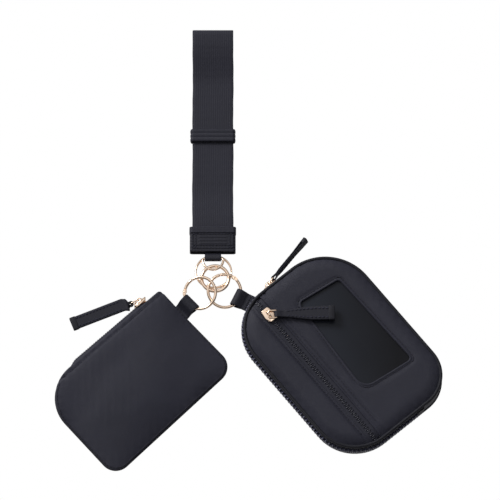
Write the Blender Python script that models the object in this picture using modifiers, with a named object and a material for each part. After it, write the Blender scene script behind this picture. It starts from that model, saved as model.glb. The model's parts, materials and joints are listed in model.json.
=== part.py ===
"""Zippered pouch set on a wrist strap: a flat coin pouch and a gusseted card pouch
hang from one cluster of linked rings at the end of a webbing wrist loop.

Lengths below are millimetres and become metres in mm(). +Z is up, the set lies on
its back on the plane z = 0, and the wrist strap runs along +Y.
"""
import math

import bmesh
import bpy
import numpy as np
from mathutils import Matrix, Vector

NAME = "zippered_pouch_set"
GAP = 0.3                      # clearance left between touching pieces
FABRIC = 0.8                   # pouch shell fabric with its backing
TAPE = 0.9                     # folded tape of the tabs

# wrist strap
STRAP_X = -27.2
STRAP_WIDTH = 30.0
STRAP_PLY = 1.3
STRAP_START = -2.2             # raw ends, hidden in the end cover
STRAP_FOLD = 168.5             # outside of the top fold
LOW_PLY = 1.85                 # mid height of the ply on the floor side
COVER_START, COVER_END = -3.5, 15.3
COVER_WIDTH = 33.5
KEEPER_Y = 86.5
KEEPER_LENGTH = 9.6

# ring cluster
DEE_POINT = (-27.0, -8.5, 5.67)
DEE_PITCH = 0.284
DEE_HALF_WIDTH = 7.5
DEE_CORNER = 1.0
DEE_DEPTH = 9.6
DEE_WIRE = 0.9
LINK_CENTRE = (-25.36, -24.38, 7.70)
LINK_TILT = (-0.041, 0.698)
LINK_RADIUS = 9.8
LINK_WIRE = 1.25
KEY_CENTRE = (-26.75, -18.08, 3.63)
KEY_TILT = (-0.171, -0.013)
KEY_RADIUS = 13.0
KEY_WIRE = 0.55
KEY_PITCH = 1.42
COIN_CLIP = dict(point=(-43.7, -42.8, 5.51), heading=44.1, pitch=0.287, roll=-0.077,
                 radius=11.65, pivot=129.0, sweep=-52.0)
CARD_CLIP = dict(point=(-8.8, -38.2, 3.85), heading=153.8, pitch=0.223, roll=-0.072,
                 radius=12.1, pivot=-99.0, sweep=52.0)
CLIP_WIRE = 1.1
CLIP_INSET = 0.9               # how far the ring wire sits behind the tab fold centre
EAR_RADIUS = 1.7
PIN_RADIUS = 0.5
PIN_HOLE = 0.8
PIN_HALF = 1.35
EAR_SPLIT, EAR_TOP = 0.15, 1.15            # each hinge ear, from the mid plane
EAR_CLEARANCE = 0.35
GATE_REACH = 7.0                           # half size of the cut that frees the gate

# where each ring hangs on the one before it
LINK_PIVOT = (-29.224, -16.398, 9.199)
KEY_PIVOT = (-21.012, -30.939, 4.892)
COIN_PIVOT = (-26.243, -33.668, 10.769)
CARD_PIVOT = (-29.661, -32.508, 9.833)

# tabs
TAB_WIDTH = 12.7
STRAP_TAB_WIDTH = 12.0
RING_SLOT = 3.15               # mid radius of the fold round a curved ring
BAR_SLOT = 1.75                # mid radius of the fold round the straight dee bar

# coin pouch
COIN_ORIGIN = (-83.3, -103.5)
COIN_TURN = 42.0
COIN_CORNERS = ((60.5, 43.0), (-57.0, 43.0), (-57.0, -42.0), (62.0, -38.0))
COIN_RADII = (2.5, 29.0, 11.0, 12.0)
COIN_ZIP_Y = 42.4              # mid of the chain thickness
COIN_ZIP_Z = 3.3
COIN_CHAIN = (-34.0, 56.5, 3.6, 2.2)       # from x, to x, width, thickness
COIN_SLIDER_X = 44.0
COIN_TRAVEL = 71.0

# card pouch
CARD_ORIGIN = (66.7, -83.0)
CARD_TURN = -50.5
CARD_NEAR = 71.6               # short side by the rings, to the piping centre line
CARD_FAR = 68.1                # the other short side
CARD_HALF_Y = 50.1
CARD_RADII = (26.0, 38.0, 33.5, 32.5)      # far high, near high, near low, far low
PIPING = 1.25
BACK_PIPING_Z, FRONT_PIPING_Z = 1.5, 15.6
CROWN = 2.0                    # rise of the front above its seam
CHAIN_Z = (6.1, 11.0)
TAPE_Z = (3.05, 5.8), (11.3, 14.05)
CARD_SLIDER_Y = -6.9
CARD_TRAVEL = 6.0
CHAIN_TOP_Y = 1.0              # chain end on the short side, past the slider
CHAIN_END_Y = 13.5             # chain end on the far short side
WINDOW = ((36.0, 35.4), (-43.5, 33.1), (-48.0, -0.5), (31.0, -5.5))
WINDOW_RADII = (3.0, 3.0, 3.0, 9.0)
POCKET_Y = -23.4
POCKET_EDGES = (-27.3, -19.4)
POCKET_CHAIN = (-63.5, 61.0, 5.0, 2.2)
POCKET_SLIDER_X = -55.0
POCKET_TRAVEL = 100.0

FABRIC_BLACK = (0.030, 0.030, 0.038, 1.0)
WEB_BLACK = (0.026, 0.026, 0.033, 1.0)
TRIM_BLACK = (0.016, 0.016, 0.019, 1.0)
FILM_GREY = (0.040, 0.043, 0.050, 1.0)
ROSE_GOLD = (0.80, 0.58, 0.45, 1.0)


def mm(values):
    return Vector(values) * 0.001


for thing in list(bpy.data.objects):
    bpy.data.objects.remove(thing, do_unlink=True)

PARTS = bpy.data.collections.new(NAME)
bpy.context.scene.collection.children.link(PARTS)


# ---------------------------------------------------------------- small tools
def material(name, colour, metallic, roughness):
    mat = bpy.data.materials.new(name)
    mat.use_nodes = True
    shader = mat.node_tree.nodes["Principled BSDF"]
    shader.inputs["Base Color"].default_value = colour
    shader.inputs["Metallic"].default_value = metallic
    shader.inputs["Roughness"].default_value = roughness
    mat.diffuse_color = colour
    return mat


LOOKS = {
    "fabric": (FABRIC_BLACK, 0.0, 0.75),
    "webbing": (WEB_BLACK, 0.0, 0.8),
    "trim": (TRIM_BLACK, 0.0, 0.65),
    "lining": (TRIM_BLACK, 0.0, 0.85),
    "film": (FILM_GREY, 0.0, 0.12),
    "gold": (ROSE_GOLD, 1.0, 0.22),
}


def add(name, mesh, look, at=Matrix.Identity(4)):
    """Link a mesh given in millimetres as a named part, with its own material."""
    mesh.transform(Matrix.Scale(0.001, 4))
    obj = bpy.data.objects.new(name, mesh)
    PARTS.objects.link(obj)
    obj.data.materials.clear()
    obj.data.materials.append(material(name, *LOOKS[look]))
    where = at.copy()
    where.translation = at.translation * 0.001
    obj.matrix_world = where
    return obj


def mesh_of(bm):
    bmesh.ops.recalc_face_normals(bm, faces=bm.faces)
    mesh = bpy.data.meshes.new("shape")
    bm.to_mesh(mesh)
    bm.free()
    return mesh


def baked(mesh, *modifiers):
    """The mesh after its modifiers, each given as (type, settings)."""
    holder = bpy.data.objects.new("holder", mesh)
    bpy.context.scene.collection.objects.link(holder)
    for kind, settings in modifiers:
        modifier = holder.modifiers.new(kind, kind)
        for key, value in settings.items():
            setattr(modifier, key, value)
    view = bpy.context.evaluated_depsgraph_get()
    out = bpy.data.meshes.new_from_object(holder.evaluated_get(view))
    bpy.data.objects.remove(holder, do_unlink=True)
    return out


def combined(mesh, operation, *tools):
    """Boolean the tool meshes into the mesh, all in one shared frame."""
    for tool in tools:
        cutter = bpy.data.objects.new("cutter", tool)
        bpy.context.scene.collection.objects.link(cutter)
        mesh = baked(mesh, ("BOOLEAN", dict(object=cutter, operation=operation,
                                            solver="EXACT")))
        bpy.data.objects.remove(cutter, do_unlink=True)
    return mesh


def block(x, y, z, turn=0.0, about=(0.0, 0.0)):
    """A box mesh from three (low, high) pairs, turned about a vertical axis."""
    bm = bmesh.new()
    size = [pair[1] - pair[0] for pair in (x, y, z)]
    centre = [(pair[1] + pair[0]) / 2 for pair in (x, y, z)]
    where = Matrix.Translation(centre) @ Matrix.Diagonal((*size, 1.0))
    pivot = Matrix.Translation((*about, 0))
    bmesh.ops.create_cube(bm, size=1.0,
                          matrix=pivot @ Matrix.Rotation(math.radians(turn), 4, "Z")
                          @ pivot.inverted() @ where)
    return mesh_of(bm)


def drum(radius, low, high, centre=(0.0, 0.0), segments=20):
    bm = bmesh.new()
    bmesh.ops.create_cone(bm, cap_ends=True, segments=segments, radius1=radius,
                          radius2=radius, depth=high - low,
                          matrix=Matrix.Translation((*centre, (low + high) / 2)))
    return mesh_of(bm)


def rounded(corners, radii, steps=7):
    """Outline of a polygon whose corners are filleted."""
    points = []
    for index, corner in enumerate(corners):
        here = Vector(corner)
        back = (Vector(corners[index - 1]) - here).normalized()
        ahead = (Vector(corners[(index + 1) % len(corners)]) - here).normalized()
        half = back.angle(ahead) / 2
        centre = here + (back + ahead).normalized() * radii[index] / math.sin(half)
        start = here + back * radii[index] / math.tan(half) - centre
        turn = start.angle_signed(here + ahead * radii[index] / math.tan(half) - centre)
        for step in range(steps + 1):
            arm = start.copy()
            arm.rotate(Matrix.Rotation(-turn * step / steps, 2))
            points.append(tuple(centre + arm))
    return points


def rectangle(half_x, half_y, radius, steps=7):
    corners = ((half_x, half_y), (-half_x, half_y), (-half_x, -half_y), (half_x, -half_y))
    return rounded(corners, (radius,) * 4, steps)


def gauge(outline, x, y):
    """Scale at which the outline, shrunk about the origin, passes through (x, y)."""
    best = 0.0
    for (ax, ay), (bx, by) in zip(outline, outline[1:] + outline[:1]):
        cross = ax * by - ay * bx
        if abs(cross) > 1e-9:
            best = max(best, (x * (by - ay) - y * (bx - ax)) / cross)
    return best


def prism(outline, low, high):
    bm = bmesh.new()
    face = bm.faces.new([bm.verts.new((x, y, low)) for x, y in outline])
    extruded = bmesh.ops.extrude_face_region(bm, geom=[face])
    top = [item for item in extruded["geom"] if isinstance(item, bmesh.types.BMVert)]
    bmesh.ops.translate(bm, vec=(0, 0, high - low), verts=top)
    return mesh_of(bm)


def shell(outline, scales, height, thickness=FABRIC):
    """A fabric panel: the outline inset ring by ring, each set to its height, then thickened."""
    bm = bmesh.new()
    face = bm.faces.new([bm.verts.new((x, y, 0.0)) for x, y in outline])
    for ring, scale in enumerate(scales):
        if ring:
            bmesh.ops.inset_individual(bm, faces=[face], thickness=0.001)
        for vert, (x, y) in zip(face.verts, outline):
            vert.co = (x * scale, y * scale, 0.0)
    for vert in bm.verts:
        vert.co.z = height(vert.co.x, vert.co.y)
    mesh = bpy.data.meshes.new("panel")
    bm.to_mesh(mesh)
    bm.free()
    return baked(mesh, ("SOLIDIFY", dict(thickness=thickness, offset=0.0,
                                         use_even_offset=False)))


def wall(path, low, high, thickness, closed=False):
    """A strip that stands on a flat path, thickened half to each side."""
    bm = bmesh.new()
    verts = [bm.verts.new((x, y, low)) for x, y in path]
    pairs = list(zip(verts, verts[1:])) + ([(verts[-1], verts[0])] if closed else [])
    edges = [bm.edges.new(pair) for pair in pairs]
    grown = bmesh.ops.extrude_edge_only(bm, edges=edges)
    top = [item for item in grown["geom"] if isinstance(item, bmesh.types.BMVert)]
    bmesh.ops.translate(bm, vec=(0, 0, high - low), verts=top)
    return baked(mesh_of(bm), ("SOLIDIFY", dict(thickness=thickness, offset=0.0,
                                                use_even_offset=True)))


def across(mesh):
    """Turn a wall drawn in (y, z) so that its height runs along x, centred."""
    mesh.transform(Matrix(((0, 0, 1, 0), (1, 0, 0, 0), (0, 1, 0, 0), (0, 0, 0, 1))))
    return mesh


def wire(points, radius, closed=False, sides=2):
    """A round wire along the points, with filled ends."""
    curve = bpy.data.curves.new("wire", "CURVE")
    curve.dimensions = "3D"
    curve.bevel_depth = radius
    curve.bevel_resolution = sides
    curve.use_fill_caps = not closed
    spline = curve.splines.new("POLY")
    spline.points.add(len(points) - 1)
    for target, point in zip(spline.points, points):
        target.co = (*point, 1.0)
    spline.use_cyclic_u = closed
    holder = bpy.data.objects.new("holder", curve)
    bpy.context.scene.collection.objects.link(holder)
    view = bpy.context.evaluated_depsgraph_get()
    mesh = bpy.data.meshes.new_from_object(holder.evaluated_get(view))
    bpy.data.objects.remove(holder, do_unlink=True)
    bm = bmesh.new()
    bm.from_mesh(mesh)
    bmesh.ops.remove_doubles(bm, verts=bm.verts, dist=1e-4)
    return mesh_of(bm)


def arc(radius, start, end, steps, centre=(0.0, 0.0), z=0.0):
    turns = [math.radians(start + (end - start) * i / steps) for i in range(steps + 1)]
    return [(centre[0] + radius * math.cos(t), centre[1] + radius * math.sin(t), z)
            for t in turns]


def heading_frame(point, heading, pitch=0.0, roll=0.0):
    """Local x along the heading, raised by pitch; roll turns about it."""
    return (Matrix.Translation(point) @ Matrix.Rotation(math.radians(heading), 4, "Z")
            @ Matrix.Rotation(-pitch, 4, "Y") @ Matrix.Rotation(roll, 4, "X"))


def smooth(value):
    value = min(max(value, 0.0), 1.0)
    return value * value * (3 - 2 * value)


def folded_tape(length, slot, width, drop=0.0, drop_over=5.0, widen=0.0, twist=0.0,
                twist_over=8.0):
    """Two plies folded round a slot at the origin; the tail runs along -x."""
    ply = TAPE / 2 + GAP / 2
    stations = np.linspace(length, slot + 2.5, 8)
    tail = [(-station, ply) for station in stations]
    tail.append((-slot - 1.5, ply + 0.25 * slot))
    loop = [(slot * math.cos(math.radians(a)), slot * math.sin(math.radians(a)))
            for a in range(125, -126, -25)]
    path = tail + loop + [(x, -z) for x, z in reversed(tail)]
    mesh = wall(path, -width / 2, width / 2, TAPE)
    for vert in mesh.vertices:
        s, n, w = vert.co
        behind = max(0.0, -s)
        w *= 1.0 + widen * smooth((behind - slot) / (0.6 * length))
        turn = math.radians(twist) * smooth((behind - slot) / twist_over)
        lower = drop * smooth((behind - slot) / drop_over)
        vert.co = (s, w * math.cos(turn) - n * math.sin(turn),
                   w * math.sin(turn) + n * math.cos(turn) - lower)
    mesh.flip_normals()
    return mesh


# ---------------------------------------------------------------- wrist strap
HIGH_PLY = LOW_PLY + STRAP_PLY + 3 * GAP + 2 * TAPE
SNUG_PLY = LOW_PLY + STRAP_PLY + GAP
FOLD_RADIUS = 3.6
fold_y = STRAP_FOLD - STRAP_PLY / 2 - FOLD_RADIUS
fold = [(fold_y + FOLD_RADIUS * math.cos(math.radians(a)),
         LOW_PLY + FOLD_RADIUS + FOLD_RADIUS * math.sin(math.radians(a)))
        for a in range(-90, 91, 15)]
strap_path = ([(STRAP_START, LOW_PLY), (80.0, LOW_PLY)] + fold
              + [(156.0, LOW_PLY + 6.9), (148.0, LOW_PLY + 5.6), (138.0, LOW_PLY + 3.3),
                 (131.0, SNUG_PLY + 0.3), (126.0, SNUG_PLY), (48.0, SNUG_PLY),
                 (40.0, SNUG_PLY + 0.3), (24.0, HIGH_PLY - 0.3), (18.0, HIGH_PLY),
                 (STRAP_START, HIGH_PLY)])
at_strap = Matrix.Translation((STRAP_X, 0, 0))
add("strap_webbing", across(wall(strap_path, -STRAP_WIDTH / 2, STRAP_WIDTH / 2, STRAP_PLY)),
    "webbing", at_strap)


def sleeve(half_width, low, high, start, end, thickness):
    """A flattened tube round the strap, from start to end along y."""
    middle = (low + high) / 2
    outline = rectangle(half_width - thickness / 2, (high - low - thickness) / 2, 0.7, 3)
    mesh = wall([(x, z + middle) for x, z in outline], -end, -start, thickness, closed=True)
    mesh.transform(Matrix.Rotation(math.radians(90), 4, "X"))
    return mesh


cover_top = HIGH_PLY + STRAP_PLY / 2 + GAP + TAPE
add("strap_end_cover",
    sleeve(COVER_WIDTH / 2, 0.0, cover_top, COVER_START, COVER_END, TAPE), "webbing", at_strap)
keeper_top = SNUG_PLY + STRAP_PLY / 2 + GAP + TAPE
add("strap_keeper",
    sleeve(STRAP_WIDTH / 2 + 1.3, 0.0, keeper_top, -KEEPER_LENGTH / 2, KEEPER_LENGTH / 2, TAPE),
    "webbing", Matrix.Translation((STRAP_X, KEEPER_Y, 0)))
tab_mid = (LOW_PLY + HIGH_PLY) / 2
add("strap_tab",
    folded_tape(15.0, BAR_SLOT, STRAP_TAB_WIDTH, drop=DEE_POINT[2] - tab_mid,
                drop_over=4.0), "trim",
    heading_frame(DEE_POINT, -90.0))

# ---------------------------------------------------------------- rings
bar_end = DEE_HALF_WIDTH - DEE_CORNER
bow = [(x, 0.0, 0.0) for x in np.linspace(-bar_end, bar_end, 6)]
bow += arc(DEE_CORNER, 90, 0, 4, centre=(bar_end, -DEE_CORNER))[1:]
bow += [(DEE_HALF_WIDTH * math.cos(math.radians(a)),
         -DEE_CORNER + (DEE_DEPTH - DEE_CORNER) * math.sin(math.radians(a)), 0.0)
        for a in range(-10, -171, -10)]
bow += arc(DEE_CORNER, 180, 90, 4, centre=(-bar_end, -DEE_CORNER))[:-1]
add("strap_dee", wire(bow, DEE_WIRE, closed=True), "gold",
    Matrix.Translation(DEE_POINT) @ Matrix.Rotation(-DEE_PITCH, 4, "X"))


def ring_frame(centre, tilt):
    return (Matrix.Translation(centre) @ Matrix.Rotation(tilt[1], 4, "Y")
            @ Matrix.Rotation(tilt[0], 4, "X"))


add("link_ring", wire(arc(LINK_RADIUS, 0, 348.75, 31), LINK_WIRE, closed=True), "gold",
    ring_frame(LINK_CENTRE, LINK_TILT))

turns = np.arange(0.0, 2.0001, 1 / 24)
coil = [(KEY_RADIUS * math.cos(2 * math.pi * t), KEY_RADIUS * math.sin(2 * math.pi * t),
         KEY_PITCH * (smooth((t - 1.0 + 0.125) / 0.25) - 0.5)) for t in turns]
add("key_ring", wire(coil, KEY_WIRE), "gold", ring_frame(KEY_CENTRE, KEY_TILT))


def clip_ring(name, point, heading, pitch, roll, radius, pivot, sweep):
    """A sprung-gate ring: body, gate and pivot pin. The gate turns about the pin."""
    at = heading_frame(point, heading, pitch, roll) @ Matrix.Translation(
        (radius - CLIP_INSET, 0, 0))
    hinge, nose = (Vector(p) for p in arc(radius, pivot, pivot + sweep, 1))
    chord = nose - hinge
    along = Matrix.Rotation(math.atan2(chord.y, chord.x), 4, "Z")
    ring = wire(arc(radius, 0, 348.75, 31), CLIP_WIRE, closed=True)

    def gate_zone(reach):
        mesh = block((0.0, reach), (-GATE_REACH, GATE_REACH), (-GATE_REACH, GATE_REACH))
        mesh.transform(Matrix.Translation(hinge) @ along)
        return mesh

    def at_hinge(size, low=-GATE_REACH, high=GATE_REACH):
        return drum(size, low, high, hinge[:2])

    clear = EAR_RADIUS + EAR_CLEARANCE
    body = combined(ring.copy(), "DIFFERENCE", gate_zone(chord.length),
                    at_hinge(clear, high=EAR_SPLIT))
    body = combined(body, "UNION", at_hinge(EAR_RADIUS, EAR_SPLIT, EAR_TOP))
    body = combined(body, "DIFFERENCE", at_hinge(PIN_HOLE))
    gate = combined(ring, "INTERSECT", gate_zone(chord.length - EAR_CLEARANCE))
    gate = combined(gate, "DIFFERENCE", at_hinge(clear, low=-EAR_SPLIT))
    gate = combined(gate, "UNION", at_hinge(EAR_RADIUS, -EAR_TOP, -EAR_SPLIT))
    gate = combined(gate, "DIFFERENCE", at_hinge(PIN_HOLE))
    add(name + "_body", body, "gold", at)
    gate.transform(Matrix.Translation(-hinge))
    at_pin = at @ Matrix.Translation(hinge)
    add(name + "_gate", gate, "gold", at_pin)
    add(name + "_pin", drum(PIN_RADIUS, -PIN_HALF, PIN_HALF, segments=12), "gold", at_pin)


clip_ring("coin_clip", **COIN_CLIP)
clip_ring("card_clip", **CARD_CLIP)


# ---------------------------------------------------------------- zip sliders
def slider_mesh(length, outer, inner, thick):
    """Slider on a chain: x is the travel, y across the chain, z out of it."""
    top, low = thick / 2 + GAP, -thick / 2 - GAP
    lip, lip_low, neck, plate = 0.7, 0.55, 0.2, 0.85
    half_o, half_i = outer / 2, inner / 2
    left = [(-half_o, top + plate), (-half_o, lip_low), (-half_o + lip, lip_low),
            (-half_o + lip, top), (-neck, top), (-neck, low), (-half_i, low),
            (-half_i, low - plate)]
    mesh = prism(left + [(-y, z) for y, z in reversed(left)], -length / 2, length / 2)
    mesh.transform(Matrix(((0, 0, 1, 0), (1, 0, 0, 0), (0, 1, 0, 0), (0, 0, 0, 1))))
    waist = top + plate
    arch = combined(block((-2.2, 2.2), (-0.4, 0.4), (waist - 0.3, waist + 2.5)),
                    "DIFFERENCE", block((-1.7, 1.7), (-2.0, 2.0), (waist, waist + 1.8)))
    return combined(mesh, "UNION", arch), waist + 0.9


LINK_HALF = 2.7
LINK_LENGTH = 9.5
LINK_CORNER = 0.8
PULL_WIRE = 0.5


def pull_link():
    """Oblong wire loop that starts at the origin and runs along +x."""
    loop = rectangle(LINK_LENGTH / 2, LINK_HALF, LINK_CORNER, 3)
    return wire([(x + LINK_LENGTH / 2, y, 0.0) for x, y in loop], PULL_WIRE, closed=True)


def puller(length, width, widen, **bend):
    """Folded fabric pull that hangs on the far end of the link."""
    mesh = folded_tape(length, 1.45, width, widen=widen, **bend)
    mesh.transform(Matrix.Rotation(math.pi, 4, "Z"))
    return mesh


def zip_pull(prefix, hinge, length, width, widen, **bend):
    """Pull link and fabric pull; hinge is the frame of the bail, x along the pull."""
    add(prefix + "_pull_link", pull_link(), "gold", hinge)
    add(prefix + "_puller", puller(length, width, widen, **bend), "trim",
        hinge @ Matrix.Translation((LINK_LENGTH, 0, 0)))


# ---------------------------------------------------------------- coin pouch
at_coin = (Matrix.Translation((*COIN_ORIGIN, 0))
           @ Matrix.Rotation(math.radians(COIN_TURN), 4, "Z"))
coin_edge = 41.0
coin_corners = [(x, min(y, coin_edge)) for x, y in COIN_CORNERS]
coin_outline = rounded(coin_corners, COIN_RADII)


def coin_front(x, y):
    lift = smooth((y - 29.0) / 7.0)
    rim = 2.45 + (6.3 - 2.45) * lift
    crown = smooth((1.0 - gauge(coin_outline, x, y)) / 0.42)
    return rim + (6.7 - rim) * crown


def coin_back(x, y):
    rim = 1.2 - 0.8 * smooth((y - 29.0) / 7.0)
    return rim + (FABRIC / 2 - rim) * smooth((1.0 - gauge(coin_outline, x, y)) / 0.25)


scales = (1.0, 0.975, 0.93, 0.86, 0.76, 0.62, 0.4)
coin_tab_local = at_coin.inverted() @ Vector(COIN_CLIP["point"])
tab_turn = COIN_CLIP["heading"] - COIN_TURN
notch = block((coin_tab_local.x - 30.0, coin_tab_local.x + 5.0),
              (coin_tab_local.y - TAB_WIDTH / 2 - GAP, coin_tab_local.y + TAB_WIDTH / 2 + GAP),
              (1.75, 4.5), turn=tab_turn, about=coin_tab_local[:2])
add("coin_front_panel", combined(shell(coin_outline, scales, coin_front), "DIFFERENCE", notch),
    "fabric", at_coin)
add("coin_back_panel", shell(coin_outline, scales[:4], coin_back), "fabric", at_coin)
start, end, chain_width, chain_thick = COIN_CHAIN
for name, low in (("coin_front_tape", 5.0), ("coin_back_tape", 1.0)):
    add(name, block((start + 3.0, end - 1.0), (36.8, coin_edge - 0.1), (low, low + 0.6)), "trim",
        at_coin)
coin_chain = block((start, end), (COIN_ZIP_Y - chain_thick / 2, COIN_ZIP_Y + chain_thick / 2),
                   (COIN_ZIP_Z - chain_width / 2, COIN_ZIP_Z + chain_width / 2))
coin_slot = block((COIN_SLIDER_X - COIN_TRAVEL - 6.0, COIN_SLIDER_X + 6.0), (30.0, 50.0),
                  (COIN_ZIP_Z - 0.5, COIN_ZIP_Z + 0.5))
add("coin_zip_chain", combined(coin_chain, "DIFFERENCE", coin_slot), "trim", at_coin)
outward = Matrix.Rotation(math.radians(-90), 4, "X")     # slider z becomes pouch +y
coin_slider, bail = slider_mesh(9.5, 6.4, 2.8, chain_thick)
at_slider = at_coin @ Matrix.Translation((COIN_SLIDER_X, COIN_ZIP_Y, COIN_ZIP_Z)) @ outward
add("coin_slider", coin_slider, "gold", at_slider)
coin_hinge = (at_coin @ Matrix.Translation((COIN_SLIDER_X, COIN_ZIP_Y + bail, COIN_ZIP_Z))
              @ Matrix.Rotation(math.radians(160.0), 4, "Z")
              @ Matrix.Rotation(math.radians(90), 4, "X"))
zip_pull("coin", coin_hinge, 42.0, 3.8, 1.5, twist=-90.0, twist_over=9.0)
coin_reach = (coin_tab_local.x - 60.5) + 5.5
add("coin_tab", folded_tape(coin_reach + 2.0, RING_SLOT, TAB_WIDTH,
                            drop=COIN_CLIP["point"][2] - 3.1), "trim",
    heading_frame(COIN_CLIP["point"], COIN_CLIP["heading"]))

# ---------------------------------------------------------------- card pouch
at_card = (Matrix.Translation((*CARD_ORIGIN, 0))
           @ Matrix.Rotation(math.radians(CARD_TURN), 4, "Z"))
hx, far_x, hy = CARD_NEAR, CARD_FAR, CARD_HALF_Y


def card_loop(offset, steps=8):
    """The card pouch's seam line, moved outwards."""
    right, left, high = far_x + offset, -hx - offset, hy + offset
    return rounded(((right, high), (left, high), (left, -high), (right, -high)),
                   [r + offset for r in CARD_RADII], steps)


seam = card_loop(0.0)
card_outline = card_loop(-PIPING - GAP)


def card_front(x, y, below=0.0):
    return FRONT_PIPING_Z - below + CROWN * smooth((1.0 - gauge(card_outline, x, y)) / 0.14)


def card_back(x, y):
    rim = BACK_PIPING_Z
    return rim + (FABRIC / 2 - rim) * smooth((1.0 - gauge(card_outline, x, y)) / 0.15)


add("card_front_piping", wire([(x, y, FRONT_PIPING_Z) for x, y in seam], PIPING, closed=True,
                              sides=1), "trim", at_card)
add("card_back_piping", wire([(x, y, BACK_PIPING_Z) for x, y in seam], PIPING, closed=True,
                             sides=1), "trim", at_card)
add("card_back_panel", shell(card_outline, (1.0, 0.95, 0.9, 0.85), card_back), "fabric", at_card)

front_scales = (1.0, 0.975, 0.94, 0.9, 0.86, 0.45)
front = shell(card_outline, front_scales, card_front)
window = rounded(WINDOW, WINDOW_RADII, 5)
low_edge, high_edge = POCKET_EDGES
add("card_front_upper_panel",
    combined(front.copy(), "DIFFERENCE", block((-90, 90), (-70, high_edge), (0, 30)),
             prism(window, 5, 30)), "fabric", at_card)
add("card_front_lower_panel",
    combined(front.copy(), "DIFFERENCE", block((-90, 90), (low_edge, 70), (0, 30))),
    "fabric", at_card)
crown_z = FRONT_PIPING_Z + CROWN
film = [(x * 1.06 - 0.4, (y - 16.0) * 1.12 + 16.0) for x, y in window]
film_top = crown_z - FABRIC / 2 - GAP
add("card_window_film", prism(film, film_top - 0.5, film_top), "film", at_card)
backing = rectangle(57.0, 27.0, 18.0, 4)
add("card_slot_backing", prism([(x, y + 15.5) for x, y in backing], film_top - 2.8,
                               film_top - 2.1), "lining", at_card)
add("card_pocket_lining", prism(card_loop(-4.0, 5), 11.0, 11.6), "lining", at_card)

# front pocket zip
start, end, chain_width, chain_thick = POCKET_CHAIN
chain_mid = crown_z - 0.5


def pocket_strip(low, high, thickness, drop, first=start, last=end):
    """A strip along the pocket zip that follows the crown of the front."""
    stops = [x for x in np.linspace(first, last, 25) if abs(x) > 52.0 or x in (first, last)]
    path = [(x, card_front(x, POCKET_Y) - drop) for x in stops]
    mesh = wall(path, -high, -low, thickness)
    mesh.transform(Matrix.Rotation(math.radians(90), 4, "X"))
    return mesh


half = chain_width / 2
pocket_chain = pocket_strip(POCKET_Y - half, POCKET_Y + half, chain_thick, 0.5)
pocket_slot = block((POCKET_SLIDER_X - 5.6, POCKET_SLIDER_X + POCKET_TRAVEL + 5.6),
                    (POCKET_Y - 0.5, POCKET_Y + 0.5), (5, 30))
add("pocket_zip_chain", combined(pocket_chain, "DIFFERENCE", pocket_slot), "trim", at_card)
add("pocket_upper_tape", pocket_strip(POCKET_Y + half + GAP, high_edge + 4.0, 0.5, 1.7,
                                     start + 4.0, end - 4.0), "trim", at_card)
add("pocket_lower_tape", pocket_strip(low_edge - 4.0, POCKET_Y - half - GAP, 0.5, 1.7,
                                     start + 4.0, end - 4.0), "trim", at_card)
pocket_slider, bail = slider_mesh(9.5, 7.0, 4.2, chain_thick)
add("pocket_slider", pocket_slider, "gold",
    at_card @ Matrix.Translation((POCKET_SLIDER_X, POCKET_Y, chain_mid)))
pocket_hinge = (at_card @ Matrix.Translation((POCKET_SLIDER_X, POCKET_Y, chain_mid + bail))
                @ Matrix.Rotation(math.radians(51.9), 4, "Z"))
zip_pull("pocket", pocket_hinge, 38.0, 3.8, 1.8)

# perimeter zip and plain gusset
def corner(index, offset):
    """Arc of the seam line at one corner, counted from far high."""
    radius = CARD_RADII[index]
    x = far_x - radius if index in (0, 3) else radius - hx
    y = hy - radius if index < 2 else radius - hy
    start = 90 * index
    return [p[:2] for p in arc(radius + offset, start, start + 90, 9, centre=(x, y))]


def side_path(offset, top, bottom):
    """Zip side of the seam line, from the short side round both corners to the other."""
    return ([(-hx - offset, top)] + corner(2, offset) + corner(3, offset)
            + [(far_x + offset, bottom)])


def hinge_path(offset, top, bottom):
    return ([(far_x + offset, bottom)] + corner(0, offset) + corner(1, offset)
            + [(-hx - offset, top)])


card_tab_local = at_card.inverted() @ Vector(CARD_CLIP["point"])
card_tab_turn = CARD_CLIP["heading"] - CARD_TURN
passage = block((card_tab_local.x - 26.0, card_tab_local.x + 2.0),
                (card_tab_local.y - TAB_WIDTH / 2 - GAP,
                 card_tab_local.y + TAB_WIDTH / 2 + GAP), (2.0, 5.45),
                turn=card_tab_turn, about=card_tab_local[:2])
back_tape = wall(side_path(0.0, CHAIN_TOP_Y, CHAIN_END_Y), *TAPE_Z[0], 1.0)
add("card_back_tape", combined(back_tape, "DIFFERENCE", passage), "trim", at_card)
add("card_front_tape", wall(side_path(0.0, CHAIN_TOP_Y, CHAIN_END_Y), *TAPE_Z[1], 1.0), "trim",
    at_card)
chain_out = 0.5
chain_thick = 2.4
card_chain = wall(side_path(chain_out, CHAIN_TOP_Y, CHAIN_END_Y), *CHAIN_Z, chain_thick)
chain_z = sum(CHAIN_Z) / 2
card_slot = block((-90, -hx + 8), (CARD_SLIDER_Y - CARD_TRAVEL - 5.6, CARD_SLIDER_Y + 5.6),
                  (chain_z - 0.5, chain_z + 0.5))
add("card_zip_chain", combined(card_chain, "DIFFERENCE", card_slot), "trim", at_card)
add("card_hinge_gusset", wall(hinge_path(0.0, CHAIN_TOP_Y + GAP, CHAIN_END_Y + GAP),
                              TAPE_Z[0][0], TAPE_Z[1][1], 1.0), "fabric", at_card)
for name, x, y in (("card_zip_start_tab", -hx - 1.3, CHAIN_TOP_Y + 3.2),
                   ("card_zip_end_tab", far_x + 1.3, CHAIN_END_Y + 3.2)):
    add(name, block((x - 0.5, x + 0.5), (y - 2.8, y + 2.8), (4.4, 12.7)), "trim", at_card)
card_slider, bail = slider_mesh(9.5, 7.6, 4.2, chain_thick)
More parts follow.
